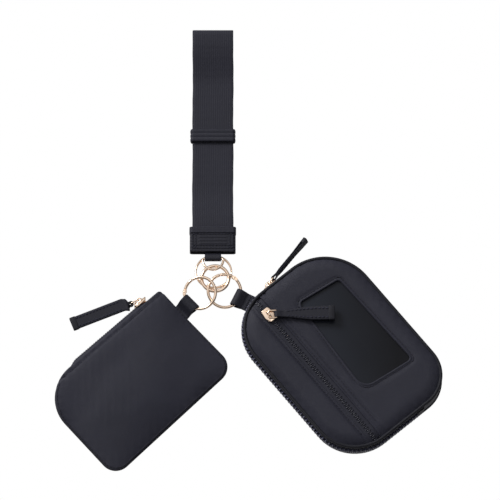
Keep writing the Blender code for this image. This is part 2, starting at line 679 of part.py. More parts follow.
face_out = Matrix(((0, 0, -1, 0), (-1, 0, 0, 0), (0, 1, 0, 0), (0, 0, 0, 1)))
add("card_slider", card_slider, "gold",
    at_card @ Matrix.Translation((-hx - chain_out, CARD_SLIDER_Y, chain_z)) @ face_out)
card_hinge = (at_card @ Matrix.Translation((-hx - chain_out - bail, CARD_SLIDER_Y, chain_z))
              @ Matrix.Rotation(math.radians(104.6), 4, "Z")
              @ Matrix.Rotation(math.radians(90), 4, "X"))
zip_pull("card", card_hinge, 30.0, 3.8, 1.8)
add("card_tab", folded_tape(19.0, RING_SLOT, TAB_WIDTH, drop=CARD_CLIP["point"][2] - 4.1),
    "trim", heading_frame(CARD_CLIP["point"], CARD_CLIP["heading"]))


# ---------------------------------------------------------------- pivots
def pivot(point, *names):
    """Move the origin of each named part onto the axis that it swings about."""
    for name in names:
        obj = PARTS.objects[name]
        offset = obj.matrix_world.inverted() @ mm(point)
        obj.data.transform(Matrix.Translation(-offset))
        obj.matrix_world = (Matrix.Translation(obj.matrix_world @ offset)
                            @ obj.matrix_world.to_3x3().to_4x4())


def named(prefixes, without=()):
    return [obj.name for obj in PARTS.objects
            if obj.name.startswith(prefixes) and not obj.name.endswith(without)]


loose = ("_slider", "_pull_link", "_puller", "_clip_body", "_clip_gate", "_clip_pin")
pivot(LINK_PIVOT, "link_ring")
pivot(KEY_PIVOT, "key_ring")
pivot(COIN_PIVOT, "coin_clip_body", "coin_clip_pin")
pivot(CARD_PIVOT, "card_clip_body", "card_clip_pin")
pivot(COIN_CLIP["point"], *named("coin_", loose))
pivot(CARD_CLIP["point"], *named(("card_", "pocket_"), loose))
for prefix, hinge in (("coin", coin_hinge), ("card", card_hinge), ("pocket", pocket_hinge)):
    pivot(hinge.translation, prefix + "_puller")
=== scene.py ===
"""Looks of the zippered pouch set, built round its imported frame.

Every piece is modelled in millimetres in the flat frame of the sub-part that it
belongs to (the strap, a ring, a pouch, a zip slider or a zip pull). Those frames
come from the CAD's joints and nodes. put() turns a piece into metres and hangs it
on its body. A mesh carries a UV map in millimetres, so that every cloth's weave
runs along its own threads.
"""

import json
import math

import bmesh
import bpy
import numpy as np
from mathutils import Matrix, Vector, noise


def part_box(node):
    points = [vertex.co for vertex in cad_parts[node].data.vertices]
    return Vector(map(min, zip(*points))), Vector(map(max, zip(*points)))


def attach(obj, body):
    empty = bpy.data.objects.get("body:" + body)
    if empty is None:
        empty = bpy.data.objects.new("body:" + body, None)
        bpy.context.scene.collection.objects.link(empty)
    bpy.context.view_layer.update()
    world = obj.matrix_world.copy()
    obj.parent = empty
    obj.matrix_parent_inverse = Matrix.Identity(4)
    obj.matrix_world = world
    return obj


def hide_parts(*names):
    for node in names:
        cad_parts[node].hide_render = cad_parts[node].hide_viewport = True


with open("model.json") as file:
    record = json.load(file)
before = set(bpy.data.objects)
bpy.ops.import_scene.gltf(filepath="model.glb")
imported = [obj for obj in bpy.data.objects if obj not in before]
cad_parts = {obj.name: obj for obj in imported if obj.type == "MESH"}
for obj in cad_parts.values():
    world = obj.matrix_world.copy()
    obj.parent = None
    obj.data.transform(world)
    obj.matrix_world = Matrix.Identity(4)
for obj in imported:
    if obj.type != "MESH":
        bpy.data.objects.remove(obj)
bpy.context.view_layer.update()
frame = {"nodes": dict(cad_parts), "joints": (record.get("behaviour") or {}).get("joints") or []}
NODES = frame["nodes"]
JOINTS = {joint["name"]: joint for joint in frame["joints"]}
UP = Vector((0.0, 0.0, 1.0))

# cloth and thread, in millimetres
TAPE = 0.9                     # thickness of a tape's ply
GAP = 0.3                      # between plies, and between metal and cloth
TAPE_FACE = TAPE + GAP / 4     # from a folded tape's middle to where its stitches lie
STITCH_PITCH = 2.7
THREAD = 0.24                  # radius
PIPING = 1.25                  # radius
ZIP_CLOTH = 0.5                # thickness of a zip's tape
DEE_SLOT, PULL_SLOT, RING_SLOT = 1.75, 1.45, 3.15    # radii that tapes are folded round


# ---- frame of the CAD
def node_points(name):
    """A CAD node's vertices in millimetres."""
    return np.array([v.co for v in NODES[name].data.vertices], float) * 1000.0


def node_box(name):
    low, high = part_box(name)
    return low * 1000.0, high * 1000.0


def joint_point(name):
    return Vector(JOINTS[name]["pos_m"]) * 1000.0


def joint_axis(name):
    return Vector(JOINTS[name]["axis"]).normalized()


def axes_frame(origin, x, z=UP):
    """Rigid frame with the given x axis, and z as near the given one as it can be."""
    x = Vector(x).normalized()
    z = (Vector(z) - Vector(z).dot(x) * x).normalized()
    y = z.cross(x)
    frame_matrix = Matrix((x, y, z)).transposed().to_4x4()
    frame_matrix.translation = Vector(origin)
    return frame_matrix


def pouch_frame(x, anchor_node, anchor):
    """Frame of a flat pouch, placed so that the node's low corner lies at the anchor."""
    turned = axes_frame((0, 0, 0), x)
    local = node_points(anchor_node) @ np.array(turned.to_3x3())
    shift = Vector((*(local.min(0)[:2] - np.array(anchor)), 0.0))
    return turned @ Matrix.Translation(shift)


def local_box(name, at):
    """A node's low and high corners in another frame."""
    inverse = np.array(at.inverted())
    local = node_points(name) @ inverse[:3, :3].T + inverse[:3, 3]
    return local.min(0), local.max(0)


# ---- small geometry
def smooth(value):
    value = np.clip(value, 0.0, 1.0)
    return value * value * (3 - 2 * value)


def rounded(corners, radii, steps=16):
    """Anticlockwise outline of a polygon whose corners are filleted."""
    points = []
    for index, corner in enumerate(corners):
        here = Vector(corner)
        back = (Vector(corners[index - 1]) - here).normalized()
        ahead = (Vector(corners[(index + 1) % len(corners)]) - here).normalized()
        half = back.angle(ahead) / 2
        centre = here + (back + ahead).normalized() * radii[index] / math.sin(half)
        start = here + back * radii[index] / math.tan(half) - centre
        end = here + ahead * radii[index] / math.tan(half) - centre
        turn = start.angle_signed(end)
        for step in range(steps + 1):
            arm = start.copy()
            arm.rotate(Matrix.Rotation(-turn * step / steps, 2))
            points.append(tuple(centre + arm))
    return np.array(points)


def rectangle(half_x, half_y, radius, steps):
    corners = ((half_x, half_y), (-half_x, half_y), (-half_x, -half_y), (half_x, -half_y))
    return rounded(corners, (radius,) * 4, steps)


def circle(radius, turns):
    return np.column_stack((radius * np.cos(turns), radius * np.sin(turns)))


def arc(radius, start, end, steps, centre=(0.0, 0.0)):
    return circle(radius, np.radians(np.linspace(start, end, steps + 1))) + centre


def straight(start, end, y, count):
    """Points from one x to another at the same y."""
    return np.column_stack((np.linspace(start, end, count), np.full(count, y)))


def lifted(flat, z):
    """Flat points at a height, or each at its own height."""
    return np.column_stack((flat, np.broadcast_to(z, len(flat))))


def looped(points):
    return np.vstack((points, points[:1]))


def run_length(points):
    """How far along a polyline each of its points lies."""
    return np.concatenate(([0.0], np.cumsum(np.linalg.norm(np.diff(points, axis=0), axis=1))))


def spaced(points, spacing, closed=False):
    """The polyline's points again, at an even spacing."""
    points = np.asarray(looped(points) if closed else points, float)
    run = run_length(points)
    count = max(2, int(round(run[-1] / spacing)))
    at = np.linspace(0.0, run[-1], count + 1)
    if closed:
        at = at[:-1]
    return np.column_stack([np.interp(at, run, column) for column in points.T])


def rounded_path(points, spacing, passes=3):
    """An even, softened version of an open path that keeps its two ends."""
    path = spaced(points, spacing)
    for _ in range(passes):
        path[1:-1] = 0.25 * path[:-2] + 0.5 * path[1:-1] + 0.25 * path[2:]
    return path


def gauge(outline, points):
    """For each point, the scale at which the outline, shrunk about 0, reaches it."""
    a, b = outline, np.roll(outline, -1, axis=0)
    cross = a[:, 0] * b[:, 1] - a[:, 1] * b[:, 0]
    keep = np.abs(cross) > 1e-9
    a, b, cross = a[keep], b[keep], cross[keep]
    along = points[:, :1] * (b[:, 1] - a[:, 1]) - points[:, 1:2] * (b[:, 0] - a[:, 0])
    return (along / cross).max(1)


def distance(points, loop):
    """Distance from each point to a closed polyline."""
    a = np.asarray(loop, float)
    d = np.roll(a, -1, axis=0) - a
    length = np.maximum((d * d).sum(1), 1e-12)
    best = np.full(len(points), 1e9)
    for start in range(0, len(a), 64):
        part = slice(start, start + 64)
        rel = points[:, None] - a[None, part]
        t = np.clip((rel * d[None, part]).sum(2) / length[None, part], 0.0, 1.0)
        gap = rel - t[..., None] * d[None, part]
        best = np.minimum(best, np.sqrt((gap * gap).sum(2)).min(1))
    return best


def ripple(points, scale, seed):
    """Smooth random height, about -1 to 1, at each point; always the same for a seed."""
    return np.array([noise.noise(Vector((p[0] * scale, p[1] * scale, seed))) for p in points])


# ---- meshes as arrays
class Shape:
    """Vertices in millimetres, faces, and a UV pair for each corner of each face."""

    def __init__(self, verts, faces, uvs):
        self.verts = np.asarray(verts, float)
        self.faces = faces
        self.uvs = uvs

    def moved(self, matrix):
        matrix = np.array(matrix)
        return Shape(self.verts @ matrix[:3, :3].T + matrix[:3, 3], self.faces, self.uvs)

    def bent(self, change):
        return Shape(change(self.verts.copy()), self.faces, self.uvs)


def joined(shapes):
    verts, faces, uvs, base = [], [], [], 0
    for shape in shapes:
        verts.append(shape.verts)
        faces += [tuple(index + base for index in face) for face in shape.faces]
        uvs += shape.uvs
        base += len(shape.verts)
    return Shape(np.vstack(verts), faces, uvs)


def stamped(shape, matrices):
    return joined([shape.moved(matrix) for matrix in matrices])


def grid(points, uv, closed_rows=False, closed_columns=False):
    """Quads over a (rows, columns, 3) grid; uv holds one more row or column when closed."""
    rows, columns = points.shape[:2]
    faces, uvs = [], []
    for i in range(rows if closed_rows else rows - 1):
        for j in range(columns if closed_columns else columns - 1):
            ring = ((i, j), (i + 1, j), (i + 1, j + 1), (i, j + 1))
            faces.append(tuple((r % rows) * columns + c % columns for r, c in ring))
            uvs.append([tuple(uv[r, c]) for r, c in ring])
    return Shape(points.reshape(-1, 3), faces, uvs)


def sweep(path, section, side, closed=False, scale=None):
    """A closed section carried along a path. The section is (across, out) pairs, across
    lies along side, and out is the path's direction times side. Scale has a number for
    each point of the path."""
    path = np.asarray(path, float)
    section = np.asarray(section, float)
    tangent = (np.roll(path, -1, 0) - np.roll(path, 1, 0) if closed
               else np.gradient(path, axis=0))
    tangent /= np.linalg.norm(tangent, axis=1)[:, None]
    side = np.broadcast_to(np.asarray(side, float), path.shape)
    side = side - (side * tangent).sum(1)[:, None] * tangent
    side = side / np.linalg.norm(side, axis=1)[:, None]
    out = np.cross(tangent, side)
    grown = section * (np.ones(len(path)) if scale is None else scale)[:, None, None]
    points = path[:, None] + side[:, None] * grown[..., :1] + out[:, None] * grown[..., 1:]
    uv = np.stack(np.meshgrid(run_length(looped(path) if closed else path),
                              run_length(looped(section)), indexing="ij"), axis=-1)
    tube = grid(points, uv, closed_rows=closed, closed_columns=True)
    if not closed:
        count, last = len(section), len(tube.verts) - 1
        flat = [tuple(pair) for pair in section]
        tube.faces += [tuple(range(count)), tuple(range(last, last - count, -1))]
        tube.uvs += [flat, flat[::-1]]
    return tube


def round_section(radius, sides=12):
    return circle(radius, np.linspace(0.0, 2 * math.pi, sides, endpoint=False))


def flat_section(width, thick, columns=10, ribs=0, rib_height=0.0):
    """A tape's section: flat faces, round edges, and ribs along the outer face if asked."""
    half, edge = width / 2, thick / 2
    right = arc(edge, -90.0, 90.0, 6, (half - edge, 0.0))
    across = np.linspace(half - edge, -half + edge, max(columns, 6 * ribs) + 1)[1:-1]
    lift = rib_height * np.sin(ribs * math.pi * (across + half) / width) ** 2
    top = np.column_stack((across, np.full(len(across), edge) + lift))
    bottom = np.column_stack((across[::-1], np.full(len(across), -edge)))
    return np.vstack((right, top, -right, bottom))


def ribbon(path, width, thick, side, closed=False, **ribs):
    return sweep(path, flat_section(width, thick, **ribs), side, closed)


def softened(bm, edges, bevel, segments=2):
    """The bmesh as a shape, once the given edges are rounded."""
    bmesh.ops.bevel(bm, geom=edges, offset=bevel, segments=segments, affect="EDGES",
                    profile=0.5)
    bm.verts.index_update()
    verts = [tuple(v.co) for v in bm.verts]
    faces = [tuple(v.index for v in face.verts) for face in bm.faces]
    bm.free()
    uvs = [[(verts[k][0] + verts[k][2], verts[k][1]) for k in face] for face in faces]
    return Shape(verts, faces, uvs)


def bevelled(half, bevel):
    """A block with rounded edges."""
    bm = bmesh.new()
    bmesh.ops.create_cube(bm, size=2.0, matrix=Matrix.Diagonal((*half, 1.0)))
    return softened(bm, bm.edges, bevel)


def plate(outline, low, high, bevel, segments=2):
    """A flat plate with rounded edges."""
    bm = bmesh.new()
    face = bm.faces.new([bm.verts.new((x, y, low)) for x, y in outline])
    grown = bmesh.ops.extrude_face_region(bm, geom=[face])
    top = [item for item in grown["geom"] if isinstance(item, bmesh.types.BMVert)]
    bmesh.ops.translate(bm, vec=(0, 0, high - low), verts=top)
    bmesh.ops.recalc_face_normals(bm, faces=bm.faces)
    rims = [edge for edge in bm.edges if abs(edge.verts[0].co.z - edge.verts[1].co.z) < 1e-6]
    return softened(bm, rims, bevel, segments)


def drum(radius, low, high, centre, bevel, sides):
    return plate(arc(radius, 0.0, 360.0, sides, centre)[:-1], low, high, bevel)


# ---- panels of cloth
EDGE_STEPS = np.array([0.0, 0.05, 0.2, 0.45, 0.8, 1.25, 1.8, 2.5])


def by_angle(loop, centre, turns):
    """Where rays from the centre, at the given angles, leave a closed loop."""
    rays = circle(1.0, turns)
    a = loop - centre
    d = np.roll(a, -1, axis=0) - a
    cross = rays[:, :1] * d[None, :, 1] - rays[:, 1:] * d[None, :, 0]
    cross = np.where(np.abs(cross) < 1e-12, 1e-12, cross)
    reach = (a[None, :, 0] * d[None, :, 1] - a[None, :, 1] * d[None, :, 0]) / cross
    place = (a[None, :, 0] * rays[:, 1:] - a[None, :, 1] * rays[:, :1]) / cross
    hit = (place > -1e-9) & (place < 1 + 1e-9) & (reach > 0)
    best = np.where(hit, reach, 0.0).max(1)
    return centre + rays * best[:, None]


def clipped(outline, limit, above):
    """The outline cut by the line y = limit."""
    keep = outline[:, 1] > limit if above else outline[:, 1] < limit
    kept = outline[keep]
    start = np.argmax(~keep[np.arange(len(keep)) - 1] & keep)
    kept = np.roll(outline, -start, axis=0)[:keep.sum()]
    ends = [np.array([[x, limit]]) for x in (kept[-1, 0], kept[0, 0])]
    return np.vstack((kept, *ends))


def panel(outer, height, spacing, skirt, turns, inner=None, centre=(0.0, 0.0)):
    """A cloth panel over the outer loop, less the inner one, at its height. Skirts turn
    its edges down. With no inner loop it runs in to the centre."""
    centre = np.array(centre)
    angles = np.linspace(0.0, 2 * math.pi, turns, endpoint=False)
    rim = by_angle(outer, centre, angles)
    core = centre + (rim - centre) * 0.02 if inner is None else by_angle(inner, centre, angles)
    reach = np.linalg.norm(core - rim, axis=1)
    middle = int(max(4, (reach.mean() - 2 * EDGE_STEPS[-1]) / spacing))
    near = EDGE_STEPS[None, :] / reach[:, None]
    far = 1.0 - near[:, ::-1]
    span = np.linspace(0.0, 1.0, middle + 1)[None, 1:-1]
    centre_part = near[:, -1:] + (far[:, :1] - near[:, -1:]) * span
    share = np.hstack((near, centre_part, far if inner is not None else far[:, -1:]))
    flat = rim[None] + (core - rim)[None] * share.T[..., None]
    z = height(flat.reshape(-1, 2)).reshape(flat.shape[:2])
    points = np.concatenate((flat, z[..., None]), axis=2)
    down = np.array([0.0, 0.0, skirt])
    points = np.concatenate((points[:1] - down, points), axis=0)
    if inner is not None:
        points = np.concatenate((points, points[-1:] - down), axis=0)
    uv = np.concatenate((points[..., :2], points[:, :1, :2]), axis=1)
    shape = grid(points, uv, closed_columns=True)
    if inner is None:
        last = [len(shape.verts) - turns + k for k in range(turns)]
        shape.faces.append(tuple(last))
        shape.uvs.append([tuple(shape.verts[k][:2]) for k in last])
    return shape


# ---- stitches and teeth
def along(path, pitch, closed=False):
    """Frames along a 3-D path, one a pitch: x runs along it and z is as near up as it
    can be."""
    path = np.asarray(looped(path) if closed else path, float)
    run = run_length(path)
    count = int(round(run[-1] / pitch))
    step = run[-1] / count
    frames = []
    for k in range(count):
        here, ahead = (np.array([np.interp(min(max(place, 0.0), run[-1]), run, column)
                                 for column in path.T])
                       for place in ((k + 0.5) * step - 0.25 * step,
                                     (k + 0.5) * step + 0.25 * step))
        frames.append(axes_frame((here + ahead) / 2, ahead - here))
    return frames


def one_stitch(length):
    """A thread that comes up out of the cloth and goes back in."""
    place = np.linspace(-1.0, 1.0, 7)
    path = lifted(straight(-length / 2, length / 2, 0.0, 7), THREAD * (0.75 - 1.9 * place ** 4))
    return sweep(path, round_section(THREAD, 7), (0, 1, 0), scale=1.0 - 0.35 * place ** 2)


def stitches(path, pitch=STITCH_PITCH, closed=False):
    return stamped(one_stitch(pitch * 0.74), along(path, pitch, closed))


def painted_shade_strip(path, closed=False, width=0.8):
    """Painted shade: a dark strip under a row of stitches, standing for the shade in its groove.
    """
    section = flat_section(width, 0.22, 4)[:, ::-1]
    return sweep(spaced(path, 1.2, closed), section, (0, 0, 1), closed)


# ---- putting pieces in
def put(name, shape, at, body, look, slot, *replaces):
    """Make the shape a piece that rides on a body and stands for some CAD nodes."""
    mesh = bpy.data.meshes.new(name)
    mesh.from_pydata((shape.verts * 0.001).tolist(), [], shape.faces)
    layer = mesh.uv_layers.new(name="UVMap")
    layer.data.foreach_set("uv", np.array([value for face in shape.uvs for pair in face
                                           for value in pair], np.float32))
    bm = bmesh.new()
    bm.from_mesh(mesh)
    bmesh.ops.recalc_face_normals(bm, faces=bm.faces)
    bm.to_mesh(mesh)
    bm.free()
    mesh.polygons.foreach_set("use_smooth", [True] * len(mesh.polygons))
    mesh.materials.append(LOOKS[look])
    obj = bpy.data.objects.new(name, mesh)
    bpy.context.scene.collection.objects.link(obj)
    where = at.copy()
    where.translation = at.translation * 0.001
    obj.matrix_world = where
    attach(obj, body)
    if replaces:
        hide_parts(*replaces)
    return obj


def on(at, body):
    """A put() for the pieces that share a frame and a body."""
    return lambda name, shape, *rest: put(name, shape, at, body, *rest)


def sew(place, slot, names, rows, pitch=STITCH_PITCH, width=0.8):
    """Rows of stitches, and the strips of painted shade under them. A row is (path, closed)."""
    place(names[0], joined([stitches(path, pitch, closed) for path, closed in rows]), "thread",
          slot)
    place(names[1], joined([painted_shade_strip(path, closed, width) for path, closed in rows]), "binding",
          slot)


def sharpen(obj, degrees=40.0):
    """Keep the corners sharper than this crisp."""
    obj.data.set_sharp_from_angle(angle=math.radians(degrees))
    return obj


# ---- materials
class Look:
    """A material being built. Nodes are added with node() and sums with math()."""

    def __init__(self, name, colour, roughness, **fixed):
        self.material = bpy.data.materials.new(name)
        self.material.use_nodes = True
        self.tree = self.material.node_tree
        self.shader = self.tree.nodes["Principled BSDF"]
        self.shader.inputs["Base Color"].default_value = (*colour, 1.0)
        self.shader.inputs["Roughness"].default_value = roughness
        for key, value in fixed.items():
            self.shader.inputs[key.replace("_", " ")].default_value = value
        self.material.diffuse_color = (*colour, 1.0)

    def node(self, kind, **settings):
        made = self.tree.nodes.new("ShaderNode" + kind)
        for key, value in settings.items():
            if key in made.inputs.keys():
                made.inputs[key].default_value = value
            else:
                setattr(made, key, value)
        return made

    def link(self, source, target):
        self.tree.links.new(source, target)

    def math(self, operation, first, second=0.0, third=0.0):
        made = self.node("Math", operation=operation)
        for socket, value in zip(made.inputs, (first, second, third)):
            if isinstance(value, (int, float)):
                socket.default_value = value
            else:
                self.link(value, socket)
        return made.outputs[0]

    def uv(self):
        split = self.node("SeparateXYZ")
        self.link(self.node("TexCoord").outputs["UV"], split.inputs[0])
        return split.outputs[0], split.outputs[1]

    def wave(self, coordinate, pitch):
        """0 to 1 and back once a pitch."""
        turned = self.math("MULTIPLY", coordinate, 2 * math.pi / pitch)
        return self.math("MULTIPLY_ADD", self.math("SINE", turned), 0.5, 0.5)

    def noise(self, scale, detail=3.0):
        made = self.node("TexNoise", Scale=scale, Detail=detail)
        self.link(self.node("TexCoord").outputs["Object"], made.inputs["Vector"])
        return made.outputs["Fac"]

    def shade(self, factor, dark, light):
        """Base colour from dark to light."""
        mix = self.node("Mix", data_type="RGBA")
        for socket in mix.inputs:
            if socket.name in ("A", "B") and socket.type == "RGBA":
                socket.default_value = (*(dark if socket.name == "A" else light), 1.0)
        self.link(factor, mix.inputs["Factor"])
        out = [socket for socket in mix.outputs if socket.type == "RGBA"][0]
        self.link(out, self.shader.inputs["Base Color"])

    def rough(self, factor, low, high):
        self.link(self.math("MULTIPLY_ADD", factor, high - low, low),
                  self.shader.inputs["Roughness"])

    def bump(self, height, depth):
        """Raise the surface by height times depth millimetres."""
        made = self.node("Bump", Strength=1.0, Distance=depth * 0.001)
        self.link(height, made.inputs["Height"])
        before = self.shader.inputs["Normal"].links
        if before:
            self.link(before[0].from_socket, made.inputs["Normal"])
        self.link(made.outputs["Normal"], self.shader.inputs["Normal"])


BLACK = (0.0166, 0.0168, 0.0284)
CLOTH_ROUGHNESS = 0.62
CLOTH_CONTRAST = 0.45          # from its own colour to its darkest and lightest threads
CLOTHS = {                     # name, tint, warp, weft, twill, weave's depth, creases' depth
    "fabric": ("nylon_twill", 1.0, 0.42, 0.42, 0.62, 0.05, 0.16),
    "webbing": ("webbing_weave", 0.92, 0.9, 1.6, 0.0, 0.10, 0.1),
    "grosgrain": ("grosgrain", 0.75, 1.1, 0.9, 0.0, 0.10, 0.08),
    "tape": ("folded_tape_weave", 0.72, 0.5, 0.55, 0.0, 0.06, 0.25),
    # dark binding cloth, also used for the strips of painted shade under rows of stitches
    "binding": ("binding_weave", 0.40, 0.7, 0.5, 0.9, 0.05, 0.2),
    "zip_tape": ("zip_tape_weave", 0.85, 0.9, 0.6, 1.2, 0.08, 0.05),
    "lining": ("lining_weave", 0.5, 0.3, 0.3, 0.0, 0.03, 0.2),
}


def tinted(share):
    return tuple(c * share for c in BLACK)


def cloth(name, tint, warp, weft, twill, depth, creases):
    """Woven cloth: threads at two pitches, a diagonal twill line, and soft creases."""
    colour = tinted(tint)
    look = Look(name, colour, CLOTH_ROUGHNESS, Sheen_Weight=0.06, Sheen_Roughness=0.45,
                Specular_IOR_Level=0.3)
    look.shader.inputs["Sheen Tint"].default_value = (0.86, 0.88, 1.0, 1.0)
    u, v = look.uv()
    threads = look.math("MULTIPLY", look.wave(u, warp), look.wave(v, weft))
    if twill:
        diagonal = look.wave(look.math("ADD", u, v), twill)
        threads = look.math("MAXIMUM", threads, look.math("MULTIPLY", diagonal, 0.8))
    slub = look.noise(260.0, 2.0)
    broad = look.noise(22.0, 2.0)
    weave = look.math("MULTIPLY_ADD", slub, 0.35, threads)
    tone = look.math("MULTIPLY_ADD", broad, 0.5, look.math("MULTIPLY", weave, 0.5))
    look.shade(tone, [c * (1 - CLOTH_CONTRAST) for c in colour],
               [c * (1 + CLOTH_CONTRAST) for c in colour])
    look.rough(slub, CLOTH_ROUGHNESS - 0.08, CLOTH_ROUGHNESS + 0.08)
    look.bump(weave, depth)
    look.bump(look.noise(95.0), creases)
    return look.material


def thread_look():
    look = Look("sewing_thread", tinted(0.8), 0.75, Specular_IOR_Level=0.25)
    u, v = look.uv()
    twist = look.wave(look.math("ADD", u, look.math("MULTIPLY", v, 0.8)), 0.45)
    look.shade(twist, tinted(0.9), tinted(2.4))
    look.bump(twist, 0.05)
    return look.material


def teeth_look(name, tint, gloss):
    look = Look(name, tinted(tint), 0.3, Specular_IOR_Level=gloss)
    grain = look.noise(900.0, 2.0)
    look.shade(grain, tinted(tint * 0.8), tinted(tint * 1.3))
    look.rough(grain, 0.26, 0.42)
    look.bump(grain, 0.02)
    return look.material


def film_look():
    """Smoky plastic with painted reflection and shade: darker towards the side away from the
    zip.
    """
    look = Look("window_film", (0.010, 0.011, 0.014), 0.3, Specular_IOR_Level=0.14)
    u, v = look.uv()
    # painted reflection and shade: the base colour darkens across the film away from the zip,
    # with random mottling on top
    side = look.math("MULTIPLY_ADD", u, -0.45, look.math("MULTIPLY_ADD", v, -1.0, 32.0))
    share = look.math("MULTIPLY", side, 1.0 / 55.0)
    painted_reflection_mottle = look.math("MULTIPLY_ADD", look.noise(22.0, 2.0), 0.3, share)
    look.shade(look.math("MINIMUM", look.math("MAXIMUM", painted_reflection_mottle, 0.0), 1.0),
               (0.005, 0.005, 0.007), (0.021, 0.024, 0.033))
    look.rough(look.noise(18.0, 2.0), 0.22, 0.40)
    look.bump(look.noise(26.0, 1.0), 0.3)
    return look.material


def gold_look():
    look = Look("rose_gold", (0.94, 0.74, 0.58), 0.14, Metallic=1.0)
    look.shade(look.noise(60.0, 2.0), (0.93, 0.67, 0.48), (0.97, 0.79, 0.63))
    brushed = look.noise(420.0)
    look.rough(brushed, 0.08, 0.20)
    look.bump(brushed, 0.005)
    return look.material


LOOKS = {key: cloth(*values) for key, values in CLOTHS.items()}
# painted highlight: the moulded teeth get a lighter grey (tint 5) that stands in for their
# glints
LOOKS.update(thread=thread_look(), teeth=teeth_look("coil_teeth", 1.0, 0.4),
             big_teeth=teeth_look("moulded_teeth_painted_glint", 5.0, 0.9), film=film_look(),
             gold=gold_look())


# ---- shared parts of cloth
def roll(inset, radius):
    """How far a folded edge falls below its surface, at a distance inside the edge."""
    over = np.clip(1.0 - inset / radius, 0.0, 1.0)
    return radius * (1.0 - np.sqrt(1.0 - over * over))


def groove(offset, depth, width=0.55):
    """The dip that a row of stitches pulls into the cloth."""
    return depth * np.exp(-(offset / width) ** 2)


class Pillow:
    """Height, 0 to 1, of a skin blown up inside an outline."""

    def __init__(self, outline, pitch, rounds):
        self.pitch, self.low = pitch, outline.min(0) - pitch
        counts = np.ceil((outline.max(0) + pitch - self.low) / pitch).astype(int) + 1
        nodes = np.stack(np.meshgrid(*(np.arange(n) for n in counts), indexing="ij"), axis=-1)
        inside = gauge(outline, (nodes * pitch + self.low).reshape(-1, 2)) < 1.0
        inside = inside.reshape(counts)
        skin = np.zeros(counts)
        for _ in range(rounds):
            around = (np.roll(skin, 1, 0) + np.roll(skin, -1, 0) + np.roll(skin, 1, 1)
                      + np.roll(skin, -1, 1))
            skin = np.where(inside, (around + 1.0) / 4, 0.0)
        self.skin = skin / skin.max()

    def at(self, points):
        place = (points - self.low) / self.pitch
        place = np.clip(place, 0.0, np.array(self.skin.shape) - 1.001)
        cell = place.astype(int)
        (a, b), (i, j) = (place - cell).T, cell.T
        skin = self.skin
        return ((skin[i, j] * (1 - a) + skin[i + 1, j] * a) * (1 - b)
                + (skin[i, j + 1] * (1 - a) + skin[i + 1, j + 1] * a) * b)


CROWN = 9.0                    # how far in from a pouch's edge its faces still rise


def plump(share):
    """A rounded rise from 0 to 1."""
    return 1.0 - (1.0 - np.clip(share, 0.0, 1.0)) ** 2.2


def folded_tape(length, slot, width, drop=0.0, drop_over=5.0, widen=0.0,
                widen_over=8.0, twist=0.0, twist_over=8.0, spread=0.0):
    """Two plies folded round a slot at the origin, with the tail along -x. Spread opens
    the plies at the tail's end."""
    ply = TAPE / 2 + GAP / 4
    stations = np.linspace(length, slot + 2.5, 12)
    opened = ply + spread * smooth((stations / length - 0.55) / 0.45)
    tail = list(zip(-stations, opened)) + [(-slot - 1.5, ply + 0.25 * slot)]
    loop = [(slot * math.cos(a), slot * math.sin(a))
            for a in np.radians(np.arange(125, -126, -12.5))]
    line = tail + loop + [(x, -z) for x, z in reversed(tail)]
    path = rounded_path([(x, 0.0, z) for x, z in line], 0.55, 3)

    def bend(verts):
        s, w, n = verts.T
        behind = np.maximum(0.0, -s)
        w = w * (1.0 + widen * smooth((behind - slot) / widen_over))
        turn = math.radians(twist) * smooth((behind - slot) / twist_over)
        lower = drop * smooth((behind - slot) / drop_over)
        return np.column_stack((s, w * np.cos(turn) - n * np.sin(turn),
                                w * np.sin(turn) + n * np.cos(turn) - lower))

    return ribbon(path, width, TAPE * 0.92, (0, 1, 0)).bent(bend), bend


def tape_rows(bend, length, width, start, inset=1.3, both=True):
    """Stitches down both long sides of a folded tape, on each face."""
    rows = []
    for face in ((1, -1) if both else (1,)):
        for side in (1, -1):
            line = straight(-start, -length + 1.0, side * (width / 2 - inset), 40)
            row = stitches(lifted(line, TAPE_FACE))
            row.verts[:, 2] *= face
            rows.append(row.bent(bend))
    return joined(rows)


TOOTH_OVERLAP = 0.9            # how far a tooth reaches past the chain's middle
TEETH = {                      # pitch, half the chain's width, thickness
    "coin": (1.9, 1.75, 1.7), "card": (3.0, 2.4, 2.3), "pocket": (2.7, 1.7, 1.2),
}


def tooth(pitch, half_width, thick):
    """One zip tooth: across is y, out of the chain is z."""
    overlap = TOOTH_OVERLAP
    long = (half_width + overlap) / 2
    body = bevelled((0.17 * pitch, long, thick / 2), 0.09 * pitch)
    head = bevelled((0.21 * pitch, 0.42 * overlap, 0.42 * thick), 0.08 * pitch)
    return joined([body.moved(Matrix.Translation((0, half_width - long, 0))),
                   head.moved(Matrix.Translation((0, -0.45 * overlap, 0)))])


def zip_teeth(chain, path, standing):
    """Two rows of teeth that mesh along a path. Standing teeth face to the right of it,
    others face up."""
    one = tooth(*TEETH[chain])
    turn = Matrix.Rotation(math.radians(90 if standing else 0), 4, "X")
    return stamped(one, [at @ turn @ Matrix.Rotation(math.pi * (index % 2), 4, "Z")
                         for index, at in enumerate(along(path, TEETH[chain][0] / 2))])


# ---- wrist strap
STRAP_PLY = 1.3
RIB_MARGIN = 6.2               # plain border beside the end cover's ribs
HEM = 4.8                      # folded hem at the open end of the strap's end cover
RIB_HEIGHT = 0.3
COVER_ROWS = (2.1, 4.3)        # rows of stitches, in from the end cover's sides

